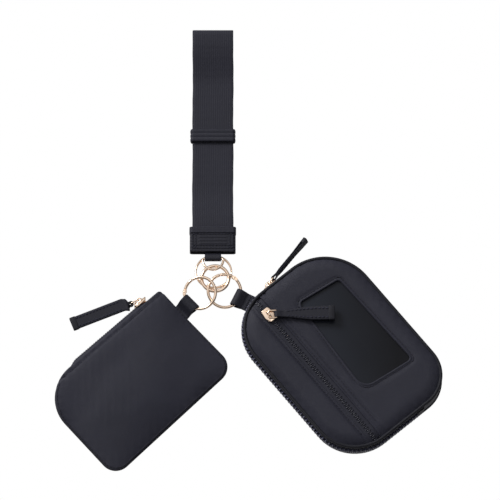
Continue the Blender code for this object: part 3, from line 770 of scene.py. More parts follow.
low, high = node_box("strap_webbing")
strap_x = (low.x + high.x) / 2
strap_width = high.x - low.x
at_strap = Matrix.Translation((strap_x, 0, 0))
on_strap = on(at_strap, "strap")
strap_top, strap_end = high.y, low.y
low_ply = low.z + STRAP_PLY / 2
cover_low, cover_high = node_box("strap_end_cover")
keeper_low, keeper_high = node_box("strap_keeper")
high_ply = cover_high.z - TAPE - GAP - STRAP_PLY / 2
snug_ply = keeper_high.z - TAPE - GAP - STRAP_PLY / 2
fold_radius = (high.z - low_ply - STRAP_PLY / 2) / 2


def strap_loop():
    """The webbing from its raw end under the cover, round the top fold, and back."""
    fold_y = strap_top - STRAP_PLY / 2 - fold_radius
    fold = [(fold_y + fold_radius * math.cos(a), low_ply + fold_radius
             + fold_radius * math.sin(a)) for a in np.radians(np.arange(-90, 91, 10))]
    crest = low_ply + 2 * fold_radius
    line = ([(strap_end, low_ply)] + fold
            + [(strap_top - 12.5, crest - 0.3), (strap_top - 20.5, crest - 1.6),
               (strap_top - 30.5, snug_ply + 1.7), (strap_top - 37.5, snug_ply + 0.3),
               (strap_top - 42.5, snug_ply), (48.0, snug_ply), (40.0, snug_ply + 0.3),
               (24.0, high_ply - 0.3), (18.0, high_ply), (strap_end, high_ply)])
    path = rounded_path([(0.0, y, z) for y, z in line], 1.0)
    shape = ribbon(path, strap_width, STRAP_PLY, (1, 0, 0), columns=14)

    def wander(verts):
        verts[:, 0] += 0.12 * np.sin(verts[:, 1] * 0.11) + 0.06 * np.sin(verts[:, 1] * 0.37)
        return verts

    on_strap("webbing_loop", shape.bent(wander), "webbing", "webbing", "strap_webbing")


def band(low_corner, high_corner, start, end, thick, corner, grow=0.0, proud=0.0, **ribs):
    """A flattened sleeve round the strap, from start to end along it."""
    half_x = (high_corner.x - low_corner.x - thick) / 2 + grow
    half_z = (high_corner.z - low_corner.z - thick + proud) / 2
    middle = (high_corner.z + low_corner.z + proud) / 2
    outline = spaced(rectangle(half_x, half_z, corner, 8), 0.6, closed=True)
    path = np.insert(outline + (0.0, middle), 1, (start + end) / 2, axis=1)
    return ribbon(path, end - start, thick, (0, -1, 0), closed=True, **ribs)


def strap_end_cover():
    hem_y = cover_high.y - HEM
    body = band(cover_low, cover_high, cover_low.y, hem_y + 0.8, TAPE, 1.6, columns=60,
                ribs=6, rib_height=RIB_HEIGHT)
    half = (cover_high.x - cover_low.x) / 2

    def framed(verts):
        """The ribs lie inside the rows of stitches, on the front only."""
        inside = (smooth((half - RIB_MARGIN - np.abs(verts[:, 0])) / 0.8)
                  * smooth((verts[:, 1] - cover_low.y - RIB_MARGIN * 0.7) / 0.8))
        proud = np.maximum(0.0, verts[:, 2] - cover_high.z)
        verts[:, 2] += proud * (inside - 1.0)
        verts[:, 2] = np.maximum(verts[:, 2], cover_low.z)
        verts[:, 0] = np.clip(verts[:, 0], -half, half)
        return verts

    on_strap("end_cover_ribbon", body.bent(framed), "grosgrain", "webbing", "strap_end_cover")
    hem = band(cover_low, cover_high, hem_y, cover_high.y, TAPE, 1.6, grow=0.3,
               proud=0.8, columns=8)
    on_strap("end_cover_hem", hem, "webbing", "webbing")
    top = cover_high.z + 0.12
    bottom, last = cover_low.y + 2.6, hem_y - 0.6
    rows = [[(side * (half - inset), y, top) for y in (bottom, last)]
            for inset in COVER_ROWS for side in (-1, 1)]
    rows += [[(side * (half - COVER_ROWS[0]), y, top) for side in (-1, 1)]
             for y in (bottom, bottom + 2.0, last)]
    sew(on_strap, "webbing", ("end_cover_stitches", "end_cover_creases"),
        [(row, False) for row in rows], 2.3, 0.7)


def strap_keeper():
    """The sliding loop; its ribs stand proud."""
    shape = band(keeper_low, keeper_high, keeper_low.y, keeper_high.y, TAPE, 1.4,
                 proud=1.3, columns=30, ribs=3, rib_height=RIB_HEIGHT)
    put("keeper_band", shape, at_strap, "keeper", "webbing", "webbing", "strap_keeper")


def strap_tab():
    """Folded tape that holds the dee."""
    low, high = node_box("strap_tab")
    width = high.x - low.x
    hinge = joint_point("dee_swing")
    at = axes_frame(hinge, (0, -1, 0))
    drop = hinge.z - (low_ply + high_ply) / 2
    shape, bend = folded_tape(high.y - hinge.y, DEE_SLOT, width, drop=drop, drop_over=4.0)
    on_tab = on(at, "strap")
    on_tab("dee_tab", shape, "tape", "trim", "strap_tab")
    on_tab("dee_tab_stitches", tape_rows(bend, 8.0, width, 2.6, both=False), "thread", "trim")


# ---- rings
WIRE_SIDES = 20
EAR_RADIUS = 1.7
GATE_GAP = 0.35
GATE_SWEEP = 52.0
CLIP_INSET = 0.9               # how far the ring's wire sits behind the tab's fold centre
CLIP_WIRE = 1.1
KEY_WIRE = 0.64


def circle_fit(name):
    """Frame, radius and half thickness of a ring-shaped node."""
    points = node_points(name)
    centre = points.mean(0)
    normal = np.linalg.svd(points - centre, full_matrices=False)[2][2]
    normal = normal * np.sign(normal[2])
    heights = (points - centre) @ normal
    flat = points - centre - heights[:, None] * normal
    reach = np.linalg.norm(flat, axis=1)
    return axes_frame(centre, (1, 0, 0), normal), (reach.min() + reach.max()) / 2, heights.max()


def wire_ring(radius, wire, start=0.0, end=360.0, soften=0.0):
    """A round wire bent to a circle or an arc of one, with softened ends."""
    closed = end - start >= 360.0
    turns = np.linspace(start, end, int((end - start) / 2.5) + 1)
    scale = None
    if closed:
        turns = turns[:-1]
    else:
        tip = math.degrees(soften / radius)
        ends = tip * np.array([0, 0.3, 1.0])
        turns = np.sort(np.concatenate((turns[1:-1], start + ends, end - ends)))
        edge = np.minimum(turns - turns[0], turns[-1] - turns) / tip
        scale = 0.72 + 0.28 * np.sqrt(np.clip(edge, 0, 1))
    path = lifted(circle(radius, np.radians(turns)), 0.0)
    return sweep(path, round_section(wire, WIRE_SIDES), (0, 0, 1), closed, scale)


def dee():
    """Bent wire with a straight bar, which turns in the strap's tab."""
    hinge = joint_point("dee_swing")
    points = node_points("strap_dee") - np.array(hinge)
    hang = Vector((0.0, *points.mean(0)[1:])).normalized()
    at = axes_frame(hinge, (1, 0, 0), Vector((1, 0, 0)).cross(-hang))
    wire = -(points @ np.array(hang)).min()
    depth = (points @ np.array(hang)).max() - wire
    half = (points[:, 0].max() - points[:, 0].min()) / 2 - wire
    corner = 1.2
    turns = np.radians(np.linspace(-8, -172, 42))
    bow = np.column_stack((half * np.cos(turns), -corner + (depth - corner) * np.sin(turns)))
    outline = np.vstack((arc(corner, 180, 90, 5, (-half + corner, -corner)),
                         arc(corner, 90, 0, 5, (half - corner, -corner)), bow))
    path = lifted(spaced(outline, 0.6, closed=True), 0.0)
    put("dee_wire", sweep(path, round_section(wire, WIRE_SIDES), (0, 0, 1), closed=True), at,
        "dee", "gold", "gold", "strap_dee")


def link():
    at, radius, wire = circle_fit("link_ring")
    put("link_wire", wire_ring(radius, wire), at, "link", "gold", "gold", "link_ring")


def key_coil():
    """Split ring: two turns of wire, the second stepping up beside the first."""
    at, radius, half = circle_fit("key_ring")
    rise = 2 * half - 2 * KEY_WIRE + 0.14
    turns = np.linspace(0.0, 2.0, 145)
    step = smooth((turns - 1.0 + 0.1) / 0.2) - 0.5
    path = lifted(circle(radius, 2 * math.pi * turns), rise * step)
    put("key_coil", sweep(path, round_section(KEY_WIRE), (0, 0, 1)), at, "key_ring", "gold",
        "gold", "key_ring")


def clip_ring(prefix):
    """Ring with a sprung gate: body, gate and rivet. Its size comes from its joints."""
    swing, hinge = joint_point(prefix + "_pouch_swing"), joint_point(prefix + "_gate_hinge")
    lift = joint_axis(prefix + "_pouch_swing")
    normal = joint_axis(prefix + "_gate_hinge")
    way = 1.0 if normal.z > 0 else -1.0
    normal = normal * way
    heading = Vector((lift.y, -lift.x, 0.0))
    x = (heading - UP * (heading.dot(normal) / normal.z)).normalized()
    arm = hinge - swing + CLIP_INSET * x
    radius = arm.length_squared / (2 * arm.dot(x))
    at = axes_frame(swing + x * (radius - CLIP_INSET), x, normal)
    local = at.inverted() @ hinge
    turn = math.degrees(math.atan2(local.y, local.x))
    ear = math.degrees((EAR_RADIUS + 0.1) / radius)
    slit = math.degrees(GATE_GAP / radius)

    def tongue(direction, low, high):
        """Flat ear from the hinge towards the wire on one side of it."""
        reach = EAR_RADIUS + 0.9
        side = turn + direction * 90.0
        outline = np.vstack((arc(1.3, 90.0, 270.0, 20), ((reach, -0.95), (reach, 0.95))))
        shape = plate(outline, low, high, 0.1, 1)
        return shape.moved(Matrix.Translation(local)
                           @ Matrix.Rotation(math.radians(side), 4, "Z"))

    def wire_between(start, end):
        return wire_ring(radius, CLIP_WIRE, min(start, end), max(start, end), soften=0.35)

    def piece(part, shape, body, node):
        return put(f"{prefix}_ring_{part}", shape, at, f"{prefix}_{body}", "gold", "gold",
                   f"{prefix}_clip_{node}")

    wire = wire_between(turn + way * GATE_SWEEP, turn + way * (360.0 - ear))
    sharpen(piece("body", joined([wire, tongue(-way, 0.12, 1.12)]), "clip", "body"))
    wire = wire_between(turn + way * ear, turn + way * (GATE_SWEEP - slit))
    sharpen(piece("gate", joined([wire, tongue(way, -1.12, -0.12)]), "gate", "gate"))
    centre = tuple(local[:2])
    rivet = [drum(0.65, low, low + 0.19, centre, 0.09, 20) for low in (1.14, -1.33)]
    piece("rivet", joined([drum(0.5, -1.3, 1.3, centre, 0.1, 16), *rivet]), "clip", "pin")


# ---- zip sliders and pulls
SLIDER_LENGTH = 9.5
SLIDERS = {                    # widths of the outer and inner plates, chain's thickness
    "coin": (6.4, 2.8, 2.2), "card": (7.6, 4.2, 2.4), "pocket": (7.0, 4.2, 2.2),
}
SLIDER_GROWTH = 1.12
BAIL_ABOVE = 2.05              # bail centre above the chain's face
BRIDGE = ((2.25, 0.2), (1.6, 1.15), (0.7, 1.42))     # (x, z) up from its foot
LINK_HALF = 2.7
LINK_LENGTH = 5.8              # the puller's fold hides the rest of the link
PULL_WIRE = 0.55
PULL_CAP = 4.4                 # folded end of a puller


def slider_shape(outer, inner, thick):
    """Zip slider: x is its travel, y across the chain and z out of it, 0 at the bail."""
    length, half_o, plate_thick = SLIDER_LENGTH, outer / 2, 0.85
    top = -BAIL_ABOVE + 0.02 + GAP
    under = top - thick - 2 * GAP

    def shield(half, tail):
        side = ((length / 2, half * 0.62), (length * 0.12, half),
                (-length * 0.28, half * tail), (-length / 2, half * tail * 0.8))
        radii = (0.9, 1.6, 1.4, 0.7)
        corners = side + tuple((x, -y) for x, y in side[::-1])
        return spaced(rounded(corners, radii + radii[::-1], 5), 0.45, closed=True)

    def block(half, bevel, *place):
        return bevelled(half, bevel).moved(Matrix.Translation(place))

    shapes = [plate(shield(half_o, 0.86), top, top + plate_thick, 0.3),
              plate(shield(inner / 2, 0.9), under - plate_thick, under, 0.25)]
    shapes += [block((length * 0.40, 0.36, 0.75), 0.2, -0.2, side * (half_o * 0.86 - 0.36),
                     top - 0.45) for side in (-1, 1)]
    shapes.append(block((0.9, 0.19, (thick + 2 * GAP) / 2 + 0.2), 0.08, length * 0.3, 0,
                        top - thick / 2 - GAP))
    rise = ((2.7, top + plate_thick - 0.1), *BRIDGE)
    arch = [(-x, 0.0, z) for x, z in rise] + [(x, 0.0, z) for x, z in rise[::-1]]
    shapes.append(sweep(rounded_path(arch, 0.35, 2), flat_section(1.05, 0.62, 4), (0, 1, 0)))
    shapes += [block((0.7, 0.55, 0.3), 0.2, side * 2.9, 0, top + plate_thick + 0.1)
               for side in (-1, 1)]
    return joined(shapes)


def slider(prefix, pouch, x, z):
    """A slider at its pull's hinge. Its x (the travel) and z are in the pouch's frame."""
    axes = pouch.to_3x3()
    at = axes_frame(joint_point(prefix + "_pull_swing"), axes @ Vector(x), axes @ Vector(z))
    at = at @ Matrix.Diagonal((SLIDER_GROWTH,) * 3).to_4x4()
    put(prefix + "_slider_body", slider_shape(*SLIDERS[prefix]), at,
        prefix + "_zip_slider", "gold", "gold", prefix + "_slider")


def pull_frame(prefix, flat, turn):
    """Frame at a slider's bail: x along the pull; z up when the link lies flat."""
    hinge = joint_point(prefix + "_pull_swing")
    centre = Vector(node_points(prefix + "_puller").mean(0))
    x = centre - hinge
    x.z = 0.0
    x.normalize()
    x.rotate(Matrix.Rotation(math.radians(turn), 3, "Z"))
    return axes_frame(hinge, x, UP if flat else x.cross(UP))


def zip_pull(prefix, flat, width, widen, stitch_from=7.0, turn=0.0, longer=0.0, **bend):
    """Oblong wire link and a folded cloth puller that hangs from its far end. Turn (in
    degrees) and longer ease the puller away from the CAD's one."""
    at = pull_frame(prefix, flat, turn)
    body = prefix + "_zip_pull"
    outline = spaced(rectangle(LINK_LENGTH / 2, LINK_HALF, 0.95, 6), 0.5, closed=True)
    path = lifted(outline + (LINK_LENGTH / 2, 0.0), 0.0)
    put(prefix + "_link_wire", sweep(path, round_section(PULL_WIRE, 14), (0, 0, 1), True), at,
        body, "gold", "gold", prefix + "_pull_link")
    far = local_box(prefix + "_puller", at)[1][0]
    length = far - LINK_LENGTH + longer
    shape, bend_by = folded_tape(length, PULL_SLOT, width, widen=widen, **bend)
    turned = at @ Matrix.Translation((LINK_LENGTH, 0, 0)) @ Matrix.Rotation(math.pi, 4, "Z")
    on_pull = on(turned, body)
    on_pull(prefix + "_puller_tape", shape, "tape", "trim", prefix + "_puller")
    rows = tape_rows(bend_by, length, width, stitch_from, inset=0.85)
    on_pull(prefix + "_puller_stitches", rows, "thread", "trim")
    cap = bevelled((PULL_CAP / 2, width / 2 + 0.15, TAPE + 0.45), 0.45)
    cap = cap.moved(Matrix.Translation((PULL_CAP / 2 - length - 0.3, 0, 0))).bent(bend_by)
    on_pull(prefix + "_puller_end", cap, "binding", "trim")


# ---- coin pouch
COIN_EDGE = 41.0               # folded edges along the zip
COIN_CORNERS = ((60.5, COIN_EDGE), (-57.0, COIN_EDGE), (-57.0, -42.0), (62.0, -38.0))
COIN_RADII = (2.5, 29.0, 11.0, 12.0)
COIN_ZIP = (42.4, 3.3)         # middle of the chain, (y, z)
COIN_RIM_LOW, COIN_RIM_HIGH, COIN_TOP = 2.6, 6.45, 9.4     # rim far from and at the zip
COIN_SEAM_Z, COIN_SEAM_END = 1.75, 39.5    # the bound edge's height, and the y it ends at
COIN_SEAM_IN, COIN_ROW_IN = (0.994, 0.991), (0.977, 0.968)     # shares of the outline
COIN_CHAIN_LOW = (-34.0, 41.3)
COIN_TURN = math.radians(42.0)     # direction of the soft folds on its front
COIN_SEWN = 3.0                # from the folded edge to its row of stitches
COIN_TUCK, COIN_TUCK_RUN = 4.4, 15.0   # how far the zip's ends turn in, and over what length

at_coin = pouch_frame(-joint_axis("coin_zip_slide"), "coin_zip_chain", COIN_CHAIN_LOW)
on_coin = on(at_coin, "coin_pouch")
coin_outline = rounded(COIN_CORNERS, COIN_RADII)
coin_outline = coin_outline[np.diff(run_length(coin_outline), prepend=-1.0) > 1e-6]
coin_pillow = Pillow(coin_outline, pitch=2.5, rounds=1500)



def coin_front_height(points):
    inset = distance(points, coin_outline)
    lift = smooth((points[:, 1] - 4.0) / 31.0)
    rim = COIN_RIM_LOW + (COIN_RIM_HIGH - COIN_RIM_LOW) * lift
    z = rim + (COIN_TOP - rim) * coin_pillow.at(points) ** 0.82
    z -= roll(inset, 0.85) + groove(COIN_EDGE - points[:, 1] - COIN_SEWN, 0.55, 0.7)
    pucker = np.sin(points[:, 0] * 0.85) * np.sin(points[:, 1] * 0.8)
    z += 0.18 * pucker * np.exp(-inset / 4.5) * smooth(inset / 1.2)
    soft = ripple(points, 0.030, 2.0) * 0.75 + ripple(points, 0.075, 7.0) * 0.22
    across = points @ np.array((math.cos(COIN_TURN), -math.sin(COIN_TURN)))
    beside = points @ np.array((math.sin(COIN_TURN), math.cos(COIN_TURN)))
    folds = (0.5 + 0.5 * np.sin(across * 1.15 + 0.6 * np.sin(beside * 0.09))) ** 2
    patch = np.exp(-((across + 28.0) / 26.0) ** 2 - ((beside + 8.0) / 22.0) ** 2)
    return z + soft * smooth(inset / 16.0) + 0.10 * folds * patch - 0.25


def coin_back_height(points):
    inset = distance(points, coin_outline)
    lift = smooth((points[:, 1] - 29.0) / 7.0)
    return 0.75 * (1.0 - lift) * (1.0 - plump(inset / CROWN)) + roll(inset, 0.7) + 0.05


def coin_pouch():
    front = panel(coin_outline, coin_front_height, spacing=1.5, skirt=0.35, turns=420)
    on_coin("coin_front_cloth", front, "fabric", "fabric", "coin_front_panel")
    back = panel(coin_outline, coin_back_height, spacing=3.0, skirt=-0.35, turns=300)
    on_coin("coin_back_cloth", back, "fabric", "fabric", "coin_back_panel")
    edge = clipped(coin_outline, COIN_SEAM_END, above=False)[:-1] * COIN_SEAM_IN
    seam = spaced(lifted(edge, COIN_SEAM_Z), 1.0)
    near = np.arange(len(seam))
    taper = 0.2 + 0.8 * smooth(np.minimum(near, near[::-1]) / 9.0)
    on_coin("coin_seam", sweep(seam, round_section(0.85, 10), (0, 0, 1), scale=taper),
            "binding", "fabric")
    row_y = COIN_EDGE - COIN_SEWN
    rim = spaced(clipped(coin_outline, row_y, above=False)[:-1] * COIN_ROW_IN, 1.2)
    rows = [(lifted(line, coin_front_height(line) + 0.05), False)
            for line in (straight(57.5, -36.0, row_y, 80), rim)]
    sew(on_coin, "fabric", ("coin_topstitch", "coin_crease"), rows)


def coin_zip():
    low, high = local_box("coin_zip_chain", at_coin)
    y, z = COIN_ZIP
    start, end = low[0], high[0]

    def tucked(verts):
        """Both ends turn in behind the panels."""
        near = np.minimum(verts[:, 0] - start, end - verts[:, 0])
        verts[:, 1] -= COIN_TUCK * (1.0 - smooth(near / COIN_TUCK_RUN))
        return verts

    for sign, name in ((1, "coin_front_tape"), (-1, "coin_back_tape")):
        path = spaced([(x, y - 0.75, z + sign * 1.95) for x in (end - 0.5, start + 0.5)], 1.0)
        tape = ribbon(path, 3.0, ZIP_CLOTH, (0, -0.75, sign * 0.65)).bent(tucked)
        on_coin(name + "_weave", tape, "zip_tape", "trim", name)
    path = [(x, y - 0.15, z) for x in (end - 1.0, start + 1.0)]
    teeth = zip_teeth("coin", path, standing=True).bent(tucked)
    on_coin("coin_zip_teeth", teeth, "teeth", "trim", "coin_zip_chain")
    core = ribbon(spaced(path, 1.0) + (0, -0.75, 0), 3.4, 0.4, (0, 0, 1)).bent(tucked)
    on_coin("coin_zip_core", core, "zip_tape", "trim")
    slider("coin", at_coin, (1, 0, 0), (0, 1, 0))
    zip_pull("coin", False, 5.0, 0.9, stitch_from=8.0, widen_over=1.4, twist=-90.0,
             twist_over=1.8, drop=-1.6)


def ring_tab(prefix, depth, tucked_back, sewn):
    """Folded tape between a pouch and its ring, with a row of stitches at each distance in
    sewn."""
    point = joint_point(prefix + "_pouch_swing")
    lift = joint_axis(prefix + "_pouch_swing")
    at = axes_frame(point, (lift.y, -lift.x, 0.0))
    on_tab = on(at, prefix + "_pouch")
    low, high = local_box(prefix + "_tab", at)
    width = high[1] - low[1]
    shape, bend = folded_tape(-low[0] - tucked_back, RING_SLOT, width, drop=point.z - depth)
    on_tab(prefix + "_tab_tape", shape, "tape", "trim", prefix + "_tab")
    rows = [stitches([(-x, side * (width / 2 - 1.0), TAPE_FACE + 0.05) for side in (-1, 1)], 2.1)
            for x in sewn]
    on_tab(prefix + "_tab_stitches", joined(rows).bent(bend), "thread", "trim")


# ---- card pouch
CARD_NEAR, CARD_FAR = 71.6, 68.1   # short sides, to the piping's centre line
CARD_HALF_Y = 50.1
CARD_RADII = (26.0, 38.0, 33.5, 32.5)      # far high, near high, near low, far low
BACK_PIPING_Z, FRONT_PIPING_Z = 1.5, 15.6
CARD_RIM, CARD_TOP = 15.9, 18.0
CARD_CHAIN_LOW = (-73.3, -51.8)
TEETH_OUT = 1.4                # of the seam line
SIDE_TAPES = (("card_back_tape", 4.2), ("card_front_tape", 12.9))    # with their heights
SIDE_TAPE_WIDTH, CORE_WIDTH, GUSSET_WIDTH = 3.4, 7.2, 12.2
SIDE_CLOTH = 0.8               # thickness of the sides' tapes and gusset
WINDOW = ((36.0, 35.4), (-43.5, 33.1), (-48.0, -0.5), (31.0, -5.5))
WINDOW_RADII = (3.0, 3.0, 3.0, 9.0)
WINDOW_MIDDLE, FILM_GROWTH = (-5.0, 15.0), (1.05, 1.1)
SEWN_MIDDLE, SEWN_GROWTH = (-6.0, 15.0), (1.058, 1.112)    # the stitches round the window
POCKET_Y = -23.4
POCKET_LOW, POCKET_HIGH = -27.3, -19.4
POCKET_ROWS = (4.6, 1.8)       # stitches above the pocket's opening
LOWER_ROW = 2.0                # and below it
FILM_TOP = 16.1

at_card = pouch_frame(joint_axis("pocket_zip_slide"), "card_zip_chain", CARD_CHAIN_LOW)
on_card = on(at_card, "card_pouch")
card_middle = (BACK_PIPING_Z + FRONT_PIPING_Z) / 2
panel_edge = PIPING - 0.25          # the panels' edges are caught in the piping


def card_loop(offset):
    """The card pouch's seam line, moved outwards."""
    right, left, high = CARD_FAR + offset, -CARD_NEAR - offset, CARD_HALF_Y + offset
    return rounded(((right, high), (left, high), (left, -high), (right, -high)),
                   [r + offset for r in CARD_RADII], 24)


seam_line = card_loop(0.0)
card_outline = card_loop(-panel_edge)
window = rounded(WINDOW, WINDOW_RADII, 10)
chain_low, chain_high = local_box("card_zip_chain", at_card)
chain_z = (chain_low[2] + chain_high[2]) / 2


def card_surface(points):
    """The front's soft crown, before its openings."""
    inset = distance(points, card_outline)
    z = CARD_RIM + (CARD_TOP - CARD_RIM) * plump(inset / CROWN)
    pucker = np.sin(points[:, 0] * 0.75) * np.sin(points[:, 1] * 0.7)
    z += 0.14 * pucker * np.exp(-inset / 4.0)
    return z + 0.30 * ripple(points, 0.05, 4.0) * smooth(inset / 12.0)


def upper_height(points):
    beside = distance(points, window)
    above = points[:, 1] - POCKET_HIGH
    z = card_surface(points) + 0.25 * smooth(np.minimum(beside, above) / 9.0)
    z -= roll(beside, 0.8) + roll(np.abs(above), 0.9) + groove(beside - 2.3, 0.6, 0.8)
    return z - groove(above - POCKET_ROWS[0], 0.8, 0.9) - groove(above - POCKET_ROWS[1], 0.5)


def lower_height(points):
    below = POCKET_LOW - points[:, 1]
    inset = distance(points, card_outline)
    z = card_surface(points) + 0.9 * smooth(np.minimum(below, inset) / 7.0)
    return z - roll(np.abs(below), 1.0) - groove(below - LOWER_ROW, 0.8, 0.9)


def film_height(points):
    z = FILM_TOP + 0.18 * ripple(points, 0.035, 11.0)
    return z - 0.5 * smooth(distance(points, window) / 30.0)


def card_front():
    upper = panel(clipped(card_outline, POCKET_HIGH, above=True), upper_height, inner=window,
                  centre=WINDOW_MIDDLE, spacing=1.4, skirt=1.1, turns=640)
    on_card("card_upper_cloth", upper, "fabric", "fabric", "card_front_upper_panel")
    lower = panel(clipped(card_outline, POCKET_LOW, above=False), lower_height,
                  centre=(0.0, -36.0), spacing=1.4, skirt=1.1, turns=520)
    on_card("card_lower_cloth", lower, "fabric", "fabric", "card_front_lower_panel")
    film = panel((window - WINDOW_MIDDLE) * FILM_GROWTH + WINDOW_MIDDLE, film_height,
                 centre=WINDOW_MIDDLE, spacing=3.0, skirt=0.5, turns=200)
    on_card("card_window_pane", film, "film", "film", "card_window_film")
    around = (window - SEWN_MIDDLE) * SEWN_GROWTH + SEWN_MIDDLE
    around = spaced(around, 1.0, closed=True)
    rows = [(lifted(around, upper_height(around) + 0.06), True)]
    for y, half, height in ((POCKET_HIGH + POCKET_ROWS[0], 61.0, upper_height),
                            (POCKET_HIGH + POCKET_ROWS[1], 61.0, upper_height),
                            (POCKET_LOW - LOWER_ROW, 57.0, lower_height)):
        line = straight(-half, half, y, 110)
        rows.append((lifted(line, height(line) + 0.06), False))
    sew(on_card, "fabric", ("card_front_stitches", "card_front_creases"), rows)


def card_back():
    def height(points):
        inset = distance(points, card_outline)
        return 1.25 * (1.0 - plump(inset / CROWN)) + roll(inset, 0.5) * 0.4

    back = panel(card_outline, height, spacing=3.0, skirt=-0.5, turns=320)
    on_card("card_back_cloth", back, "fabric", "fabric", "card_back_panel")
    line = spaced(seam_line, 1.2, closed=True)
    for name, z in (("card_front_piping", FRONT_PIPING_Z), ("card_back_piping", BACK_PIPING_Z)):
        cord = sweep(lifted(line, z), round_section(PIPING, 14), (0, 0, 1), True)
        on_card(name + "_cord", cord, "binding", "trim", name)


def card_corner(index, offset):
    """Arc of the seam line at one corner, counted from far high."""
    radius = CARD_RADII[index]
    x = CARD_FAR - radius if index in (0, 3) else radius - CARD_NEAR
    y = CARD_HALF_Y - radius if index < 2 else radius - CARD_HALF_Y
    return arc(radius + offset, 90 * index, 90 * index + 90, 24, (x, y))


def card_zip_ends():
    """Where the chain stops, on the ring side and on the far side."""
    return [local_box(name, at_card)[0][1] - 0.4
            for name in ("card_zip_start_tab", "card_zip_end_tab")]


def side_path(offset, z, zipped):
    """The zip's side of the seam line, by the low corners, or the hinge's side of it."""
    near, far = card_zip_ends()
    ends = ([(-CARD_NEAR - offset, near)], [(CARD_FAR + offset, far)])
    corners = [card_corner(index, offset) for index in ((2, 3) if zipped else (0, 1))]
    flat = np.vstack([ends[0 if zipped else 1], *corners, ends[1 if zipped else 0]])
    return spaced(lifted(flat, z), 1.2)


def card_sides():
    for name, z in SIDE_TAPES:
        tape = ribbon(side_path(-0.1, z, True), SIDE_TAPE_WIDTH, SIDE_CLOTH, (0, 0, 1))
        on_card(name + "_weave", tape, "zip_tape", "trim", name)
    core = ribbon(side_path(-0.35, chain_z, True), CORE_WIDTH, ZIP_CLOTH, (0, 0, 1))
    on_card("card_zip_core", core, "zip_tape", "trim")
    teeth = zip_teeth("card", side_path(TEETH_OUT, chain_z, True), standing=True)
    on_card("card_zip_teeth", teeth, "big_teeth", "trim", "card_zip_chain")
    gusset = ribbon(side_path(0.0, card_middle, False), GUSSET_WIDTH, SIDE_CLOTH, (0, 0, 1),
                    columns=14)

    def slack(verts):
        """The gusset's middle stands a little out, more so in places."""
        swell = 0.35 * np.cos((verts[:, 2] - card_middle) / GUSSET_WIDTH * math.pi)
        out = verts[:, :2] / np.linalg.norm(verts[:, :2], axis=1)[:, None]
        verts[:, :2] += out * (swell * (0.6 + 0.4 * np.sin(verts[:, 0] * 0.3)))[:, None]
        return verts

    on_card("card_gusset_cloth", gusset.bent(slack), "fabric", "fabric", "card_hinge_gusset")
    for name in ("card_zip_start_tab", "card_zip_end_tab"):
        low, high = local_box(name, at_card)
        sign = math.copysign(1.0, low[0])
        seam_x = CARD_NEAR if sign < 0 else CARD_FAR
        within, out = sign * (seam_x - 0.2), sign * (seam_x + 1.35)
        path = [(within, low[1] - 0.2, chain_z), (out, low[1], chain_z),
                (out, high[1], chain_z), (within, high[1] + 0.2, chain_z)]
        tab = ribbon(rounded_path(path, 0.5, 2), high[2] - low[2], 0.7, (0, 0, sign))
        on_card(name + "_cloth", tab, "binding", "trim", name)


def card_zips():
    slider("card", at_card, (0, -1, 0), (-1, 0, 0))
    zip_pull("card", False, 3.9, 0.25, turn=-2.6, longer=4.4, widen_over=10.0, twist=18.0,
             twist_over=6.0, spread=0.7)
    slider("pocket", at_card, (1, 0, 0), (0, 0, 1))
    zip_pull("pocket", True, 4.8, 1.15, widen_over=28.0)
    trim = panel_edge + 0.8
    flat = straight(trim - CARD_NEAR, CARD_FAR - trim, POCKET_Y, 100)
    z = np.minimum(card_surface(flat), CARD_TOP)
    teeth = zip_teeth("pocket", lifted(flat, z - 0.95), standing=False)
    on_card("pocket_zip_teeth", teeth, "teeth", "trim", "pocket_zip_chain")
    for name, side in (("pocket_lower_tape", -1), ("pocket_upper_tape", 1)):
        tape = ribbon(lifted(flat + (0.0, side * 3.6), z - 1.25), 6.4, ZIP_CLOTH, (0, 1, 0))
        on_card(name + "_weave", tape, "zip_tape", "trim", name)


def linings():
    """The inner layers keep their CAD shapes."""
    for name in ("card_slot_backing", "card_pocket_lining"):
        NODES[name].data.materials.clear()
        NODES[name].data.materials.append(LOOKS["lining"])


strap_loop()
strap_end_cover()
strap_keeper()
strap_tab()
dee()
link()
key_coil()
clip_ring("coin")
clip_ring("card")
coin_pouch()
coin_zip()
ring_tab("coin", 1.75, 2.6, (7.5, 9.0))
card_front()
card_back()
card_sides()
card_zips()
ring_tab("card", 4.1, 0.0, (8.0, 10.0))
linings()


# ---- floor, light and camera
FRAME_WIDTH = 0.365            # what the picture takes in at the set, metres
ELEVATION = 72.0
LENS = 500.0
SENSOR = 36.0
SOFTBOX_SIZE = 0.7             # metres
FLOOR_COLOUR = (0.34, 0.31, 0.29)
BRIGHT_SIDE = (-0.42, 0.50, 0.76)
SKY_STOPS = ((0.0, 0.02), (0.35, 0.06), (0.62, 0.22), (0.82, 0.75), (1.0, 1.0))
FLOOR_IN_METAL, SKY_IN_METAL = 0.5, 0.15     # share of white in what the rings mirror


def white_to_camera(tree, other, out, mirrored):
    """Plain white where the camera sees it, partly so in mirrors, and the other shader
    for all other light."""
    plain, path, share, mix = (tree.nodes.new("ShaderNode" + kind) for kind in
                               ("Emission", "LightPath", "Math", "MixShader"))
    share.operation = "MULTIPLY_ADD"
    share.inputs[1].default_value = mirrored
    for source, target in ((path.outputs["Is Glossy Ray"], share.inputs[0]),
                           (path.outputs["Is Camera Ray"], share.inputs[2]),
                           (share.outputs[0], mix.inputs[0]), (other, mix.inputs[1]),
                           (plain.outputs[0], mix.inputs[2]), (mix.outputs[0], out)):
        tree.links.new(source, target)


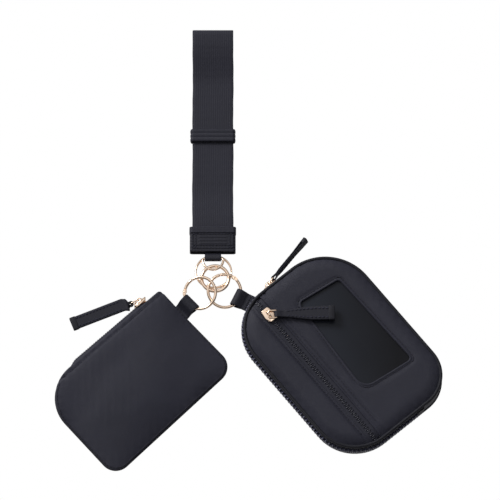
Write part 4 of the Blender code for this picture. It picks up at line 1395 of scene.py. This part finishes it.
def pale_floor():
    bm = bmesh.new()
    bmesh.ops.create_circle(bm, cap_ends=True, radius=6.0, segments=96)
    mesh = bpy.data.meshes.new("floor")
    bm.to_mesh(mesh)
    bm.free()
    look = Look("pale_floor", FLOOR_COLOUR, 0.9)
    white_to_camera(look.tree, look.shader.outputs[0],
                    look.tree.nodes["Material Output"].inputs["Surface"], FLOOR_IN_METAL)
    mesh.materials.append(look.material)
    obj = bpy.data.objects.new("floor", mesh)
    obj.location.z = -0.0004
    bpy.context.scene.collection.objects.link(obj)


def softbox(name, place, power):
    """Square lamp that looks at the set's middle."""
    light = bpy.data.lights.new(name, "AREA")
    light.shape = "SQUARE"
    light.size = SOFTBOX_SIZE
    light.energy = power
    obj = bpy.data.objects.new(name, light)
    obj.location = place
    obj.rotation_euler = (-Vector(place)).to_track_quat("-Z", "Y").to_euler()
    bpy.context.scene.collection.objects.link(obj)


def studio_sky():
    """Bright towards one side, dark away from it, and plain white behind the set."""
    world = bpy.data.worlds.new("studio")
    world.use_nodes = True
    bpy.context.scene.world = world
    tree = world.node_tree
    shade = tree.nodes["Background"]
    coordinates = tree.nodes.new("ShaderNodeTexCoord")
    side = tree.nodes.new("ShaderNodeVectorMath")
    side.operation = "DOT_PRODUCT"
    side.inputs[1].default_value = Vector(BRIGHT_SIDE).normalized()
    ramp = tree.nodes.new("ShaderNodeValToRGB")
    ramp.color_ramp.elements.remove(ramp.color_ramp.elements[1])
    stops = ramp.color_ramp.elements
    for place, value in SKY_STOPS:
        stop = stops.new(place) if place else stops[0]
        stop.color = (value, value, value * 1.02, 1.0)
    tree.links.new(coordinates.outputs["Generated"], side.inputs[0])
    tree.links.new(side.outputs["Value"], ramp.inputs[0])
    tree.links.new(ramp.outputs[0], shade.inputs["Color"])
    white_to_camera(tree, shade.outputs[0], tree.nodes["World Output"].inputs["Surface"],
                    SKY_IN_METAL)


def camera():
    data = bpy.data.cameras.new("camera")
    data.lens = LENS
    data.sensor_width = SENSOR
    obj = bpy.data.objects.new("camera", data)
    back = Vector((0.0, -math.cos(math.radians(ELEVATION)), math.sin(math.radians(ELEVATION))))
    obj.location = back * (FRAME_WIDTH / 2) / (SENSOR / 2 / LENS)
    obj.rotation_euler = (-back).to_track_quat("-Z", "Y").to_euler()
    data.clip_start, data.clip_end = 0.1, 50.0
    bpy.context.scene.collection.objects.link(obj)
    bpy.context.scene.camera = obj


pale_floor()
studio_sky()
softbox("key", (-1.2, 1.1, 1.15), 27.0)
softbox("fill", (0.5, -0.3, 1.9), 1.5)
camera()
bpy.context.scene.view_settings.view_transform = "Standard"
